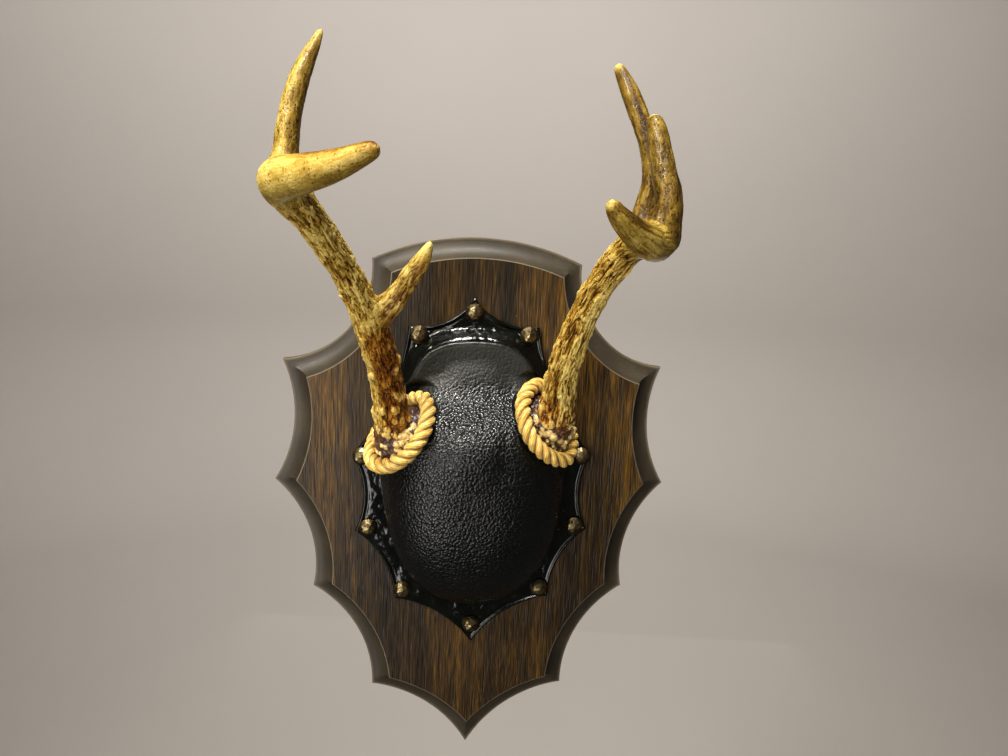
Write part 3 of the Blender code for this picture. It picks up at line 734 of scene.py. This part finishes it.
def build_cover():
    """Moulded cover over a fine polar grid that follows the flange's cusps."""
    outline = flange_outline()
    shares = np.linspace(1.0, 0.0, COVER_RINGS, endpoint=False) ** 0.85
    x = (shares[:, None] * outline[None, :, 0]).ravel()
    z = (shares[:, None] * outline[None, :, 1]).ravel()
    depth = inside_outline(dome_outline(), x, z)
    edge = inside_outline(outline[::6], x, z)
    height = cover_height(x, z, depth)
    place = np.column_stack([x, height, z])
    skirt = ramp(depth, 3.0, -1.0)
    rim = np.exp(-((edge - 1.0) / 0.6) ** 2) * 0.35 - np.exp(-((edge - 2.6) / 0.8) ** 2) * 0.30
    rim -= np.clip(0.6 - edge, 0.0, 0.6) * 0.9
    seam = np.exp(-((depth - 1.2) / 0.7) ** 2) * 0.35 * ramp(z, 20.0, 45.0)
    lumps = 0.5 * layered(place / 11.0, 31) + 0.18 * layered(place / 3.6, 34)
    lumps *= skirt * ramp(edge, 1.0, 5.0)
    lumps += (1 - skirt) * 0.30 * noise(place / 22.0, 33)
    pebbled = ramp(depth, 2.0, 11.0) * (0.35 + 0.65 * ramp(height - SHELF_HEIGHT, 0.3, 10.0))
    wrinkle = ramp(np.abs(noise(place / 1.15, 35)), 0.0, 0.30) + 0.5 * noise(place / 2.0, 36)
    height = height + rim + seam + lumps + 0.045 * pebbled * wrinkle
    pebbled = pebbled + 0.35 * (1 - skirt) * (1 - pebbled)
    satin = 0.16 + 0.32 * ramp(height - SHELF_HEIGHT, 7.0, 0.5)
    rough = satin * (1 - skirt) + 0.15 * skirt
    px, pz = place_on_cover(x, z)
    top = np.column_stack([px, -PLAQUE_THICK - height, pz])
    sides = len(outline)
    ex, ez = place_on_cover(outline[:, 0], outline[:, 1])
    under = np.column_stack([ex, np.full(sides, -PLAQUE_THICK - GAP), ez])
    hub_x, hub_z = place_on_cover(0.0, 0.0)
    hub = (hub_x, -PLAQUE_THICK - np.mean(height[-sides:]), hub_z)
    hub_under = (hub_x, -PLAQUE_THICK - GAP, hub_z)
    points = np.vstack([under, top, hub, hub_under])
    rings = COVER_RINGS + 1
    faces = [tuple(f) for f in tube_faces(rings, sides)]
    last = (rings - 1) * sides
    count = len(points)
    for i in range(sides):
        j = (i + 1) % sides
        faces.append((last + i, last + j, count - 2))
        faces.append((j, i, count - 1))
    grain = np.concatenate([np.zeros(sides), np.clip(pebbled, 0, 1), [1.0, 0.0]])
    rough = np.concatenate([np.full(sides, 0.3), rough, [0.32, 0.3]])
    obj = make_mesh("skull_cover_shell", points, faces, True, {"grain": grain, "rough": rough})
    obj.data.materials.append(cover_paint())
    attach(obj, "root")
    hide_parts("skull_cover")


# ---------------------------------------------------------------- nails


def build_nails():
    """Domed heads beaten into facets, no two alike."""
    mat = brass_paint()
    spots = [(0.0, NAIL_TOP)] + NAIL_HALF + [(0.0, NAIL_FOOT)]
    spots += [(-x, z) for x, z in reversed(NAIL_HALF)]
    rows = [(14, 1.0, 0.0, 0.0), (14, 0.98, 0.24, 0.0), (7, 0.66, 0.76, 0.07), (1, 0.08, 1.0, 0.0)]
    for index, (x, z) in enumerate(spots, start=1):
        draw = np.random.RandomState(40 + index)
        px, pz = place_on_cover(x, z)
        base = -PLAQUE_THICK - FLANGE_THICK - GAP
        points = []
        foot = []
        turn = draw.uniform(0, 6.3)
        for count, radius, rise, shake in rows:
            for i in range(count):
                angle = turn + 2 * math.pi * i / count
                r = NAIL_RADIUS * radius * (1 + draw.uniform(-shake, shake))
                h = NAIL_HEIGHT * rise * (1 + draw.uniform(-shake, shake))
                points.append((px + r * math.cos(angle), base - h, pz + r * math.sin(angle)))
                foot.append(1.0 if rise == 0.0 else 0.55 * (1.0 - rise))
        hull = hull_faces(points)
        obj = make_mesh("nail_head_%02d" % index, points, hull, False, {"foot": foot})
        bevel = obj.modifiers.new("worn_edges", "BEVEL")
        bevel.width = 0.16 * MM
        bevel.segments = 2
        obj.data.materials.append(mat)
        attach(obj, "root")
        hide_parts("nail_%02d" % index)


def hull_faces(points):
    """Faces of the convex hull round points, as lists of point numbers."""
    build = bmesh.new()
    verts = [build.verts.new(p) for p in points]
    bmesh.ops.convex_hull(build, input=verts)
    build.verts.index_update()
    faces = [tuple(v.index for v in face.verts) for face in build.faces]
    build.free()
    return faces


# ---------------------------------------------------------------- rope rings


def ring_tuck(angle, tuck):
    """How far the ring is drawn in at angle, most on the side tucked behind the beam."""
    return tuck[0] * np.maximum(0.0, np.cos(angle - math.radians(tuck[1])))


def build_rope(name, node, spec, tuck, mat):
    """Three-strand cord laid in a ring: full strands, narrow grooves and fine threads."""
    centre, axis, across, upward = ring_frame(spec)
    a = np.repeat(2 * np.pi * np.arange(ROPE_AROUND) / ROPE_AROUND, ROPE_SIDES)
    b = np.tile(2 * np.pi * np.arange(ROPE_SIDES) / ROPE_SIDES, ROPE_AROUND)
    lay = b + ROPE_TURNS * a + 0.25 * np.sin(3 * a + 1.0)
    period = 2 * np.pi / ROPE_STRANDS
    local = (lay % period) / period * 2 - 1
    strand = np.floor(lay / period) % (ROPE_STRANDS * ROPE_TURNS)
    place = np.column_stack([np.cos(a) * 9, np.sin(a) * 9, strand * 5.3])
    lines = 0.5 + 0.5 * np.cos(local * np.pi * 4.5 + 2.5 * noise(place, 3))
    thread = np.clip(0.65 * lines + 0.35 * (0.5 + noise(place * (1.6, 1.6, 1.0), 4)), 0, 1)
    full = 1 - np.abs(local) ** 2.0
    radius = ROPE_RADIUS - 1.35 * (1 - full) - 0.13 * (1 - thread) + 0.10 * noise(place * 0.7, 5)
    middle = RING_RADIUS - ring_tuck(a, tuck) + radius * np.cos(b)
    out = across * np.cos(a)[:, None] + upward * np.sin(a)[:, None]
    points = centre + out * middle[:, None] + axis * (radius * np.sin(b))[:, None]
    # Painted shade: mask of the grooves between strands, darkened in the rope's colour.
    lay_shade = ramp(np.abs(local), 0.62, 1.0)
    obj = make_mesh(name, points, tube_faces(ROPE_AROUND, ROPE_SIDES, True), True,
                    {"thread": thread, "lay": lay_shade * 0.9})
    obj.data.materials.append(mat)
    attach(obj, "root")
    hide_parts(node)


# ---------------------------------------------------------------- fused skins


def remeshed(parts, voxel):
    """One skin round overlapping closed parts: its points in millimetres, faces and edges."""
    points = []
    faces = []
    base = 0
    for part_points, part_faces in parts:
        points.append(np.asarray(part_points, float))
        faces += [tuple(np.asarray(f) + base) for f in part_faces]
        base += len(part_points)
    rough = make_mesh("remesh_source", np.vstack(points), faces)
    fuse = rough.modifiers.new("fuse", "REMESH")
    fuse.mode = "VOXEL"
    fuse.voxel_size = voxel * MM
    graph = bpy.context.evaluated_depsgraph_get()
    mesh = bpy.data.meshes.new_from_object(rough.evaluated_get(graph))
    co = np.empty(len(mesh.vertices) * 3)
    mesh.vertices.foreach_get("co", co)
    quads = np.empty(len(mesh.polygons) * 4, np.int32)
    mesh.polygons.foreach_get("vertices", quads)
    edges = np.empty(len(mesh.edges) * 2, np.int32)
    mesh.edges.foreach_get("vertices", edges)
    bpy.data.objects.remove(rough)
    bpy.data.meshes.remove(mesh)
    return co.reshape(-1, 3) / MM, quads.reshape(-1, 4), edges.reshape(-1, 2)


def relaxed(values, edges, rounds=1, share=0.5):
    """Values evened out between neighbours."""
    count = len(values)
    ends = np.concatenate([edges[:, 0], edges[:, 1]])
    others = np.concatenate([edges[:, 1], edges[:, 0]])
    degree = np.maximum(np.bincount(ends, minlength=count), 1)
    out = np.array(values, float)
    flat = out.reshape(count, -1)
    for k in range(rounds):
        mean = np.column_stack([np.bincount(ends, flat[others, c], count) / degree
                                for c in range(flat.shape[1])])
        flat += (mean - flat) * np.asarray(share).reshape(-1, 1)
    return out


def normals_of(points, quads):
    a = points[quads[:, 2]] - points[quads[:, 0]]
    b = points[quads[:, 3]] - points[quads[:, 1]]
    face = np.cross(a, b)
    total = np.zeros_like(points)
    for k in range(4):
        for c in range(3):
            total[:, c] += np.bincount(quads[:, k], face[:, c], len(points))
    return total / np.maximum(np.linalg.norm(total, axis=1), 1e-9)[:, None]


# ---------------------------------------------------------------- antlers


class Branch:
    """A beam or tine: a smooth curve with a radius, and places measured along and round it."""

    def __init__(self, stations, seed, stretch=1.0):
        keys = np.array(stations, float)
        curve = []
        t = np.linspace(0, 1, 24, endpoint=False)[:, None]
        for k in range(len(keys) - 1):
            a, b, c, d = keys[max(k - 1, 0)], keys[k], keys[k + 1], keys[min(k + 2, len(keys) - 1)]
            curve.append(0.5 * (2 * b + (c - a) * t + (2 * a - 5 * b + 4 * c - d) * t * t
                                + (3 * b - a - 3 * c + d) * t ** 3))
        curve = np.vstack(curve + [keys[-1:]])
        run = np.concatenate([[0], np.cumsum(np.linalg.norm(np.diff(curve[:, :3], axis=0), axis=1))])
        self.length = run[-1]
        self.seed = seed
        self.stretch = stretch
        self.run = np.linspace(0, self.length, int(self.length) + 2)
        path = np.column_stack([np.interp(self.run, run, curve[:, c]) for c in range(4)])
        self.centre = path[:, :3]
        self.radius = path[:, 3]
        along = np.gradient(self.centre, axis=0)
        self.along = along / np.linalg.norm(along, axis=1)[:, None]
        side = np.cross(self.along[0], (0.0, 1.0, 0.0))
        sides = []
        for tangent in self.along:
            side = side - tangent * side.dot(tangent)
            side /= np.linalg.norm(side)
            sides.append(side)
        self.side = np.array(sides)
        self.other = np.cross(self.along, self.side)

    def tube(self, sides=40):
        """Closed tube whose far end is a round cap inside the branch's length."""
        end = self.radius[-1]
        rings = []
        for s in np.linspace(0, self.length - end, int(self.length * 1.2)):
            rings.append((s, np.interp(s, self.run, self.radius)))
        for k in range(1, 5):
            angle = 0.5 * math.pi * k / 5
            rings.append((self.length - end + end * math.sin(angle), end * math.cos(angle)))
        angle = 2 * np.pi * np.arange(sides) / sides
        points = []
        for s, radius in rings:
            here, one, two = (np.array([np.interp(s, self.run, v[:, c]) for c in range(3)])
                              for v in (self.centre, self.side, self.other))
            points.append(here + radius * (np.cos(angle)[:, None] * one + np.sin(angle)[:, None] * two))
        points.append(self.centre[-1:])
        faces = [tuple(f) for f in tube_faces(len(rings), sides)]
        last = (len(rings) - 1) * sides
        faces += [(last + i, last + (i + 1) % sides, last + sides) for i in range(sides)]
        faces.append(tuple(range(sides))[::-1])
        return np.vstack(points), faces

    def locate(self, points):
        """Distance along, direction round, and distance from the centre line over the radius."""
        nearest = np.empty(len(points), int)
        for start in range(0, len(points), 20000):
            part = points[start:start + 20000]
            gap = (self.centre ** 2).sum(1)[None, :] - 2 * part @ self.centre.T
            nearest[start:start + 20000] = gap.argmin(1)
        rel = points - self.centre[nearest]
        shift = np.clip((rel * self.along[nearest]).sum(1), -2.0, 2.0)
        rel = rel - self.along[nearest] * (rel * self.along[nearest]).sum(1)[:, None]
        one = (rel * self.side[nearest]).sum(1)
        two = (rel * self.other[nearest]).sum(1)
        s = np.clip(self.run[nearest] + shift, 0, self.length)
        away = np.linalg.norm(points - self.centre[nearest], axis=1)
        return s, np.arctan2(two, one), away / np.maximum(self.radius[nearest], 0.8)


def bark(q, seed, stretch=1.0):
    """Channels and stain (0 to 1) and swells (-1 to 1) at unrolled places q in millimetres."""
    drift = np.column_stack([noise(q / (6, 6, 14), seed), noise(q / (6, 6, 14), seed + 1), q[:, 0] * 0])
    bent = (q + drift * 0.9) / (1, 1, stretch)
    deep = ramp(noise(bent / (1.6, 1.6, 9.0), seed + 2), 0.22, 0.58)
    fine = ramp(noise(bent / (0.7, 0.7, 4.0), seed + 3), 0.18, 0.50)
    line = 1 - ramp(np.abs(noise(bent / (1.8, 1.8, 7.0), seed + 5)), 0.02, 0.12)
    channel = np.clip((0.15 + 0.30 * stretch) * deep + 0.45 * fine + 0.70 * line, 0, 1)
    stain = np.clip(0.28 * stretch * deep + 0.42 * fine + 0.85 * line, 0, 1) * (0.65 + 0.35 * stretch)
    swell = 0.8 * noise(bent / (3.0, 3.0, 7.0), seed + 4) + 0.5 * noise(bent / (1.4, 1.4, 3.0), seed + 6)
    return channel, stain, np.clip(swell, -1, 1)


def build_antler(name, nodes, branches, look, pearls, mat):
    """Beam and tines fused into one skin, then grooved, beaded and stained, with painted shade from the
    look functions.
    """
    points, quads, edges = remeshed([b.tube() for b in branches], ANTLER_VOXEL)
    places = [b.locate(points) for b in branches]
    away = np.stack([p[2] for p in places])
    order = np.sort(away, axis=0)
    gap = order[1] - order[0]
    normals = normals_of(points, quads)
    points = points + normals * (np.maximum(0.0, 0.75 - gap) ** 2 * 3.2)[:, None]
    points = relaxed(points, edges, 3)
    points = relaxed(points, edges, 14, 0.5 * ramp(gap, 1.0, 0.5))
    normals = normals_of(points, quads)
    weight = np.exp(-(away - order[0]) / 0.12)
    weight /= weight.sum(0)
    crack, stain, swell = np.zeros((3, len(points)))
    rough, tone, olive, amber = np.zeros((4, len(points)))
    unrolled = np.zeros((len(points), 3))
    patch = layered(points / 8.0, branches[0].seed + 50)
    for k, branch in enumerate(branches):
        s, angle = places[k][:2]
        girth = BEAM_GIRTH if k == 0 else TINE_GIRTH
        q = np.column_stack([np.cos(angle) * girth, np.sin(angle) * girth, s])
        unrolled += weight[k][:, None] * (q + 40.0 * k)
        own = bark(q, branch.seed, branch.stretch)
        own += look(k, s / branch.length, normals, patch)
        for total, value in zip((crack, stain, swell, rough, tone, olive, amber), own):
            total += weight[k] * value
    bead = np.zeros(len(points))
    s, angle = places[0][:2]
    for at, turn, long, wide, high in pearls:
        across = (angle - math.radians(turn) + np.pi) % (2 * np.pi) - np.pi
        d = ((s - at) / long) ** 2 + (across * BEAM_GIRTH / wide) ** 2
        near = np.flatnonzero(d < 2.0)
        d = d[near] + 0.25 * noise(points[near] / 1.1, 77)
        bead[near] = np.maximum(bead[near], high * np.sqrt(np.clip(1 - d, 0, 1)))
    lift = rough * (0.95 * swell - 1.05 * crack)
    lift = np.where(bead > 0, np.maximum(lift, -0.1) + bead, lift)
    points = points + normals * relaxed(lift, edges, 1)[:, None]
    tone = tone + np.clip(rough * 1.5, 0.12, 1) * (1 - 0.45 * amber) * (0.54 * stain - 0.34 * swell)
    tone = np.clip(tone - 0.38 * ramp(bead, 0.1, 1.0), 0.02, 1)
    gloss = np.clip(0.16 + 0.25 * tone + 0.70 * amber, 0, 1)
    obj = make_mesh(name, points, quads, True, {
        "tone": tone, "olive": olive, "amber": amber, "gloss": gloss,
        "rough": np.clip(rough, 0, 1), "unrolled": unrolled * MM})
    obj.data.materials.append(mat)
    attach(obj, "root")
    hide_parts(*nodes)


def scattered_pearls(seed, count, reach, size):
    """Raised beads on the first stretch of a beam: place, bearing, length, width and height."""
    draw = np.random.RandomState(seed)
    pearls = []
    for k in range(count):
        at = 14.0 + reach * draw.uniform() ** 1.8
        wide = size * draw.uniform(0.6, 1.2)
        pearls.append((at, draw.uniform(0, 360), wide * draw.uniform(1.1, 2.1), wide, wide * 0.55))
    return pearls


def left_look(k, share, normals, patch):
    """Roughness, tone, olive and amber of the left antler along its beam, brow tine and rear tine, with
    painted shade on undersides and on the sides turned from the light.
    """
    side, front, up = normals.T
    if k == 0:
        smooth = ramp(share, 0.69, 0.78)
        low = ramp(share, 0.41, 0.34)
        fork = np.exp(-((share - 0.405) / 0.035) ** 2)
        # Partly real amber stain, partly painted shade: the low beam grows darker and more amber toward
        # its right-facing side, away from the light.
        facing = ramp(side - 0.3 * front, -0.45, 0.25)
        rough = 0.95 - 0.20 * ramp(share, 0.4, 0.6) - 0.64 * smooth - 0.20 * low - 0.40 * fork
        smooth_tone_and_shade = 0.06 * patch + 0.05 + 0.11 * ramp(share, 0.80, 0.92)
        # Darker along the upper side, and darker on the underside, which is painted shade.
        smooth_tone_and_shade += 0.18 * ramp(up, 0.5, 0.95) + 0.14 * ramp(up, -0.35, -0.85)
        tone = 0.13 + 0.08 * patch - 0.08 * fork + 0.25 * low * facing
        # Painted shade: darker on the underside of the rough part.
        tone += 0.10 * ramp(up, 0.0, -0.8) * (1 - smooth)
        tone += smooth * smooth_tone_and_shade + 0.16 * ramp(share, 0.965, 1.0)
        # Painted shade: the smooth end's underside turns darker olive.
        olive = 0.25 * smooth + 0.6 * smooth * ramp(up, 0.1, -0.6)
        amber = np.clip(low * (0.30 + 0.62 * facing) + 0.55 * smooth * ramp(up, 0.5, 0.95), 0, 1)
    elif k == 1:
        rough = 0.62 * (1 - 0.85 * ramp(share, 0.60, 0.95)) * (1 - 0.5 * ramp(share, 0.3, 0.1))
        # Painted shade: the brow tine's underside is darker and more amber.
        tone = 0.19 + 0.08 * patch + 0.14 * ramp(up, 0.1, -0.6) - 0.20 * ramp(share, 0.80, 0.97)
        olive = 0.2
        amber = 0.35 * ramp(up, 0.2, -0.6)
    else:
        # Painted shade: the rear tine's right-facing side, away from the light, is darker.
        dark = ramp(side - 0.35 * front, 0.25, 0.70)
        rough = 0.24 * (1 - 0.85 * ramp(share, 0.6, 0.95))
        tone = 0.28 + 0.08 * patch + 0.22 * dark * ramp(share, 0.98, 0.80) + 0.06 * ramp(share, 0.25, 0.1)
        tone -= 0.10 * ramp(share, 0.9, 1.0)
        olive = 0.85
        amber = 0.0
    return rough, tone, olive, amber


def right_look(k, share, normals, patch):
    """The same for the right antler along its beam, front tine and rear tine, with painted shade on the
    underside of the beam's end.
    """
    side, front, up = normals.T
    if k == 0:
        end = ramp(share, 0.64, 0.72)
        low = ramp(share, 0.20, 0.08)
        flank = ramp(side, 0.1, -0.6)
        rough = 1.15 - 0.95 * end
        tone = 0.04 + 0.08 * patch + 0.16 * flank * (1 - end) + 0.14 * low
        # Painted shade: the underside of the beam's end is darker.
        tone += end * (0.25 + 0.12 * patch + 0.12 * ramp(up, 0.2, -0.7)) - 0.50 * ramp(share, 0.985, 1.0)
        tone += 0.40 * ramp(share, 0.88, 0.95) * ramp(up, -0.3, 0.4)
        olive = 0.80 * end
        amber = 0.75 * low + 0.3 * flank * (1 - end)
    elif k == 1:
        rough = 0.27 * (1 - 0.80 * ramp(share, 0.6, 0.95))
        tone = 0.58 + 0.20 * patch - 0.62 * ramp(share, 0.955, 0.985)
        olive = 0.95
        amber = 0.0
    else:
        groove = np.exp(-((side + 0.1) / 0.22) ** 2) * ramp(share, 0.1, 0.3)
        rough = 0.27 * (1 - 0.80 * ramp(share, 0.6, 0.95))
        tone = 0.52 + 0.14 * patch + 0.28 * groove * ramp(share, 0.99, 0.88)
        tone -= 0.45 * ramp(share, 0.93, 1.0)
        olive = 0.85
        amber = 0.10 * groove
    return rough, tone, olive, amber


def build_antlers(left_beam, right_beam):
    mat = antler_paint()
    left = [left_beam, Branch(LEFT_BROW, 110), Branch(LEFT_REAR, 120)]
    names = ["beam_low", "beam_mid", "beam_end", "brow_tine", "rear_tine"]
    build_antler("antler_left", ["antler_left_" + n for n in names], left, left_look,
                 scattered_pearls(3, 38, 50.0, 1.9), mat)
    right = [right_beam, Branch(RIGHT_FRONT, 210), Branch(RIGHT_REAR, 220)]
    names = ["beam_low", "beam_mid", "beam_end", "front_tine", "rear_tine"]
    build_antler("antler_right", ["antler_right_" + n for n in names], right, right_look,
                 scattered_pearls(5, 50, 56.0, 1.6), mat)


# ---------------------------------------------------------------- burrs


def flare(spec, tuck, beam, angle, share):
    """Point of the burr's flare, from the foot on the ring's plane to a collar round the beam."""
    centre, axis, across = ring_frame(spec)[:3]
    run = FLARE_REACH * share
    here, ahead = (np.array([np.interp(run, beam.run, v[:, c]) for c in range(3)])
                   for v in (beam.centre, beam.along))
    lean = ramp(share, 0.25, 1.0)
    middle = (centre + axis * (13.0 * share - 4.0)) * (1 - lean) + here * lean
    facing = axis * (1 - lean) + ahead * lean
    facing /= np.linalg.norm(facing)
    one = across - facing * across.dot(facing)
    one /= np.linalg.norm(one)
    two = np.cross(facing, one)
    foot = np.maximum(FLARE_FOOT - ring_tuck(angle, tuck), 6.0)
    collar = np.interp(run, beam.run, beam.radius) - 0.5
    radius = foot + (collar - foot) * ramp(share, 0.12, 0.95)
    spoke = np.multiply.outer(np.cos(angle), one) + np.multiply.outer(np.sin(angle), two)
    return middle + spoke * np.expand_dims(radius, -1), spoke, facing


def ball(centre, axes, rows=8, sides=14):
    """Closed ellipsoid with half-axes given as vectors."""
    points = [centre - axes[2]]
    for k in range(1, rows):
        lift = math.pi * k / rows - math.pi / 2
        for i in range(sides):
            angle = 2 * math.pi * i / sides
            points.append(centre + axes[0] * math.cos(lift) * math.cos(angle)
                          + axes[1] * math.cos(lift) * math.sin(angle) + axes[2] * math.sin(lift))
    points.append(centre + axes[2])
    last = len(points) - 1
    faces = [tuple(np.array(f) + 1) for f in tube_faces(rows - 1, sides)]
    top = 1 + (rows - 2) * sides
    for i in range(sides):
        j = (i + 1) % sides
        faces.append((0, 1 + j, 1 + i))
        faces.append((last, top + i, top + j))
    return np.array(points), faces


def build_burr(name, node, spec, tuck, beam, shown, seed, mat):
    """Rough flare between ring and beam, set with pearls and fused into one skin."""
    draw = np.random.RandomState(seed)
    sides = 48
    angle = 2 * np.pi * np.arange(sides) / sides
    shares = np.linspace(0, 1, 15)
    rings = [flare(spec, tuck, beam, angle, share)[0] for share in shares]
    faces = [tuple(f) for f in tube_faces(len(rings), sides)]
    last = (len(rings) - 1) * sides
    faces.append(tuple(range(sides))[::-1])
    faces.append(tuple(range(last, last + sides)))
    parts = [(np.vstack(rings), faces)]
    pearls = [(bearing, share, size, True) for bearing, share, size in shown]
    for k in range(BURR_BEADS):
        bearing, share = draw.uniform(0, 360), draw.uniform(0.10, 0.90)
        pearls.append((bearing, share, draw.uniform(0.7, 1.8), k % 4 == 0))
    centres = []
    for bearing, share, size, pale in pearls:
        middle, spoke, facing = flare(spec, tuck, beam, math.radians(bearing), share)
        sweep = np.cross(facing, spoke)
        for k in range(3 if pale else 1):
            part = size * (draw.uniform(0.65, 1.05) if pale else 1.0)
            shift = draw.uniform(-0.75, 0.75, 2) * (size if pale else 0.0)
            at = middle - spoke * 0.30 * part + sweep * shift[0] + facing * shift[1]
            parts.append(ball(at, (sweep * part * draw.uniform(0.75, 1.15), spoke * part * 0.9,
                                   facing * part * draw.uniform(0.7, 1.25))))
            if pale:
                centres.append((at, part))
    points, quads, edges = remeshed(parts, BURR_VOXEL)
    points = relaxed(points, edges, 2)
    normals = normals_of(points, quads)
    rough = layered(points / 2.0, seed + 1)
    pearl = np.zeros(len(points))
    for at, size in centres:
        gap = np.linalg.norm(points - at, axis=1) / size + 0.12 * rough
        pearl = np.maximum(pearl, ramp(gap, 1.12, 0.92))
    points = points + normals * (0.50 * rough * (1 - 0.6 * pearl))[:, None]
    centre, axis = ring_frame(spec)[:2]
    climb = ramp((points - centre) @ axis + 1.5 * rough, 6.0, 10.5)
    obj = make_mesh(name, points, quads, True, {"pearl": pearl, "climb": climb})
    obj.data.materials.append(mat)
    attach(obj, "root")
    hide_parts(node)


# ---------------------------------------------------------------- stage, light and camera


def build_stage():
    """Pale floor that curves up into a wall all round, kept out of the black cover's gloss."""
    line = [(0.02, STAGE_FLOOR)]
    for k in range(25):
        angle = 0.5 * math.pi * k / 24
        out = STAGE_REACH - STAGE_BEND * (1 - math.sin(angle))
        line.append((out, STAGE_FLOOR + STAGE_BEND * (1 - math.cos(angle))))
    line.append((STAGE_REACH, STAGE_TOP))
    turns = 96
    angle = 2 * np.pi * np.arange(turns) / turns
    points = [(r * math.cos(a), r * math.sin(a), z) for r, z in line for a in angle]
    obj = make_mesh("stage_sweep", points, tube_faces(len(line), turns))
    p = Paint("stage_pale", roughness=0.9)
    p.set("Base Color", p.blend(p.noise(400.0, 2.0), rgb(176, 170, 164), rgb(180, 174, 168)))
    obj.data.materials.append(p.mat)
    obj.visible_glossy = False


def build_light():
    """Every lamp in the list, and a dim warm world."""
    for name, place, size, power, colour, aim, spread in LAMPS:
        data = bpy.data.lights.new(name, "AREA")
        data.shape = "RECTANGLE"
        data.size, data.size_y = size
        data.energy = power
        data.color = colour
        data.spread = math.radians(spread)
        obj = bpy.data.objects.new(name, data)
        obj.location = place
        obj.rotation_euler = (Vector(aim) - Vector(place)).to_track_quat("-Z", "Y").to_euler()
        bpy.context.scene.collection.objects.link(obj)
    world = bpy.data.worlds.new("soft_room")
    world.use_nodes = True
    sky = world.node_tree.nodes["Background"].inputs
    sky["Color"].default_value = (1.0, 0.97, 0.90, 1.0)
    sky["Strength"].default_value = 0.07
    bpy.context.scene.world = world


def build_camera():
    """The photograph's viewing angle: a little above the burrs, looking slightly down."""
    data = bpy.data.cameras.new("camera")
    data.sensor_width = 36.0
    data.lens = CAMERA_LENS
    data.clip_start = 0.01
    obj = bpy.data.objects.new("camera", data)
    obj.location = CAMERA_PLACE
    obj.rotation_euler = [math.radians(turn) for turn in CAMERA_TURNS]
    bpy.context.scene.collection.objects.link(obj)
    bpy.context.scene.camera = obj


# ---------------------------------------------------------------- the mount

build_plaque()
build_cover()
build_nails()
ROPE = rope_paint()
build_rope("rope_left", "rope_ring_left", RING_LEFT, TUCK_LEFT, ROPE)
build_rope("rope_right", "rope_ring_right", RING_RIGHT, TUCK_RIGHT, ROPE)
BURR = burr_paint()
LEFT = Branch(LEFT_BEAM, 100)
RIGHT = Branch(RIGHT_BEAM, 200, stretch=2.0)
build_burr("burr_left", "antler_left_burr", RING_LEFT, TUCK_LEFT, LEFT, PEARLS_LEFT, 11, BURR)
build_burr("burr_right", "antler_right_burr", RING_RIGHT, TUCK_RIGHT, RIGHT, PEARLS_RIGHT, 17, BURR)
build_antlers(LEFT, RIGHT)

build_stage()
build_light()
build_camera()
bpy.context.scene.view_settings.view_transform = "Standard"
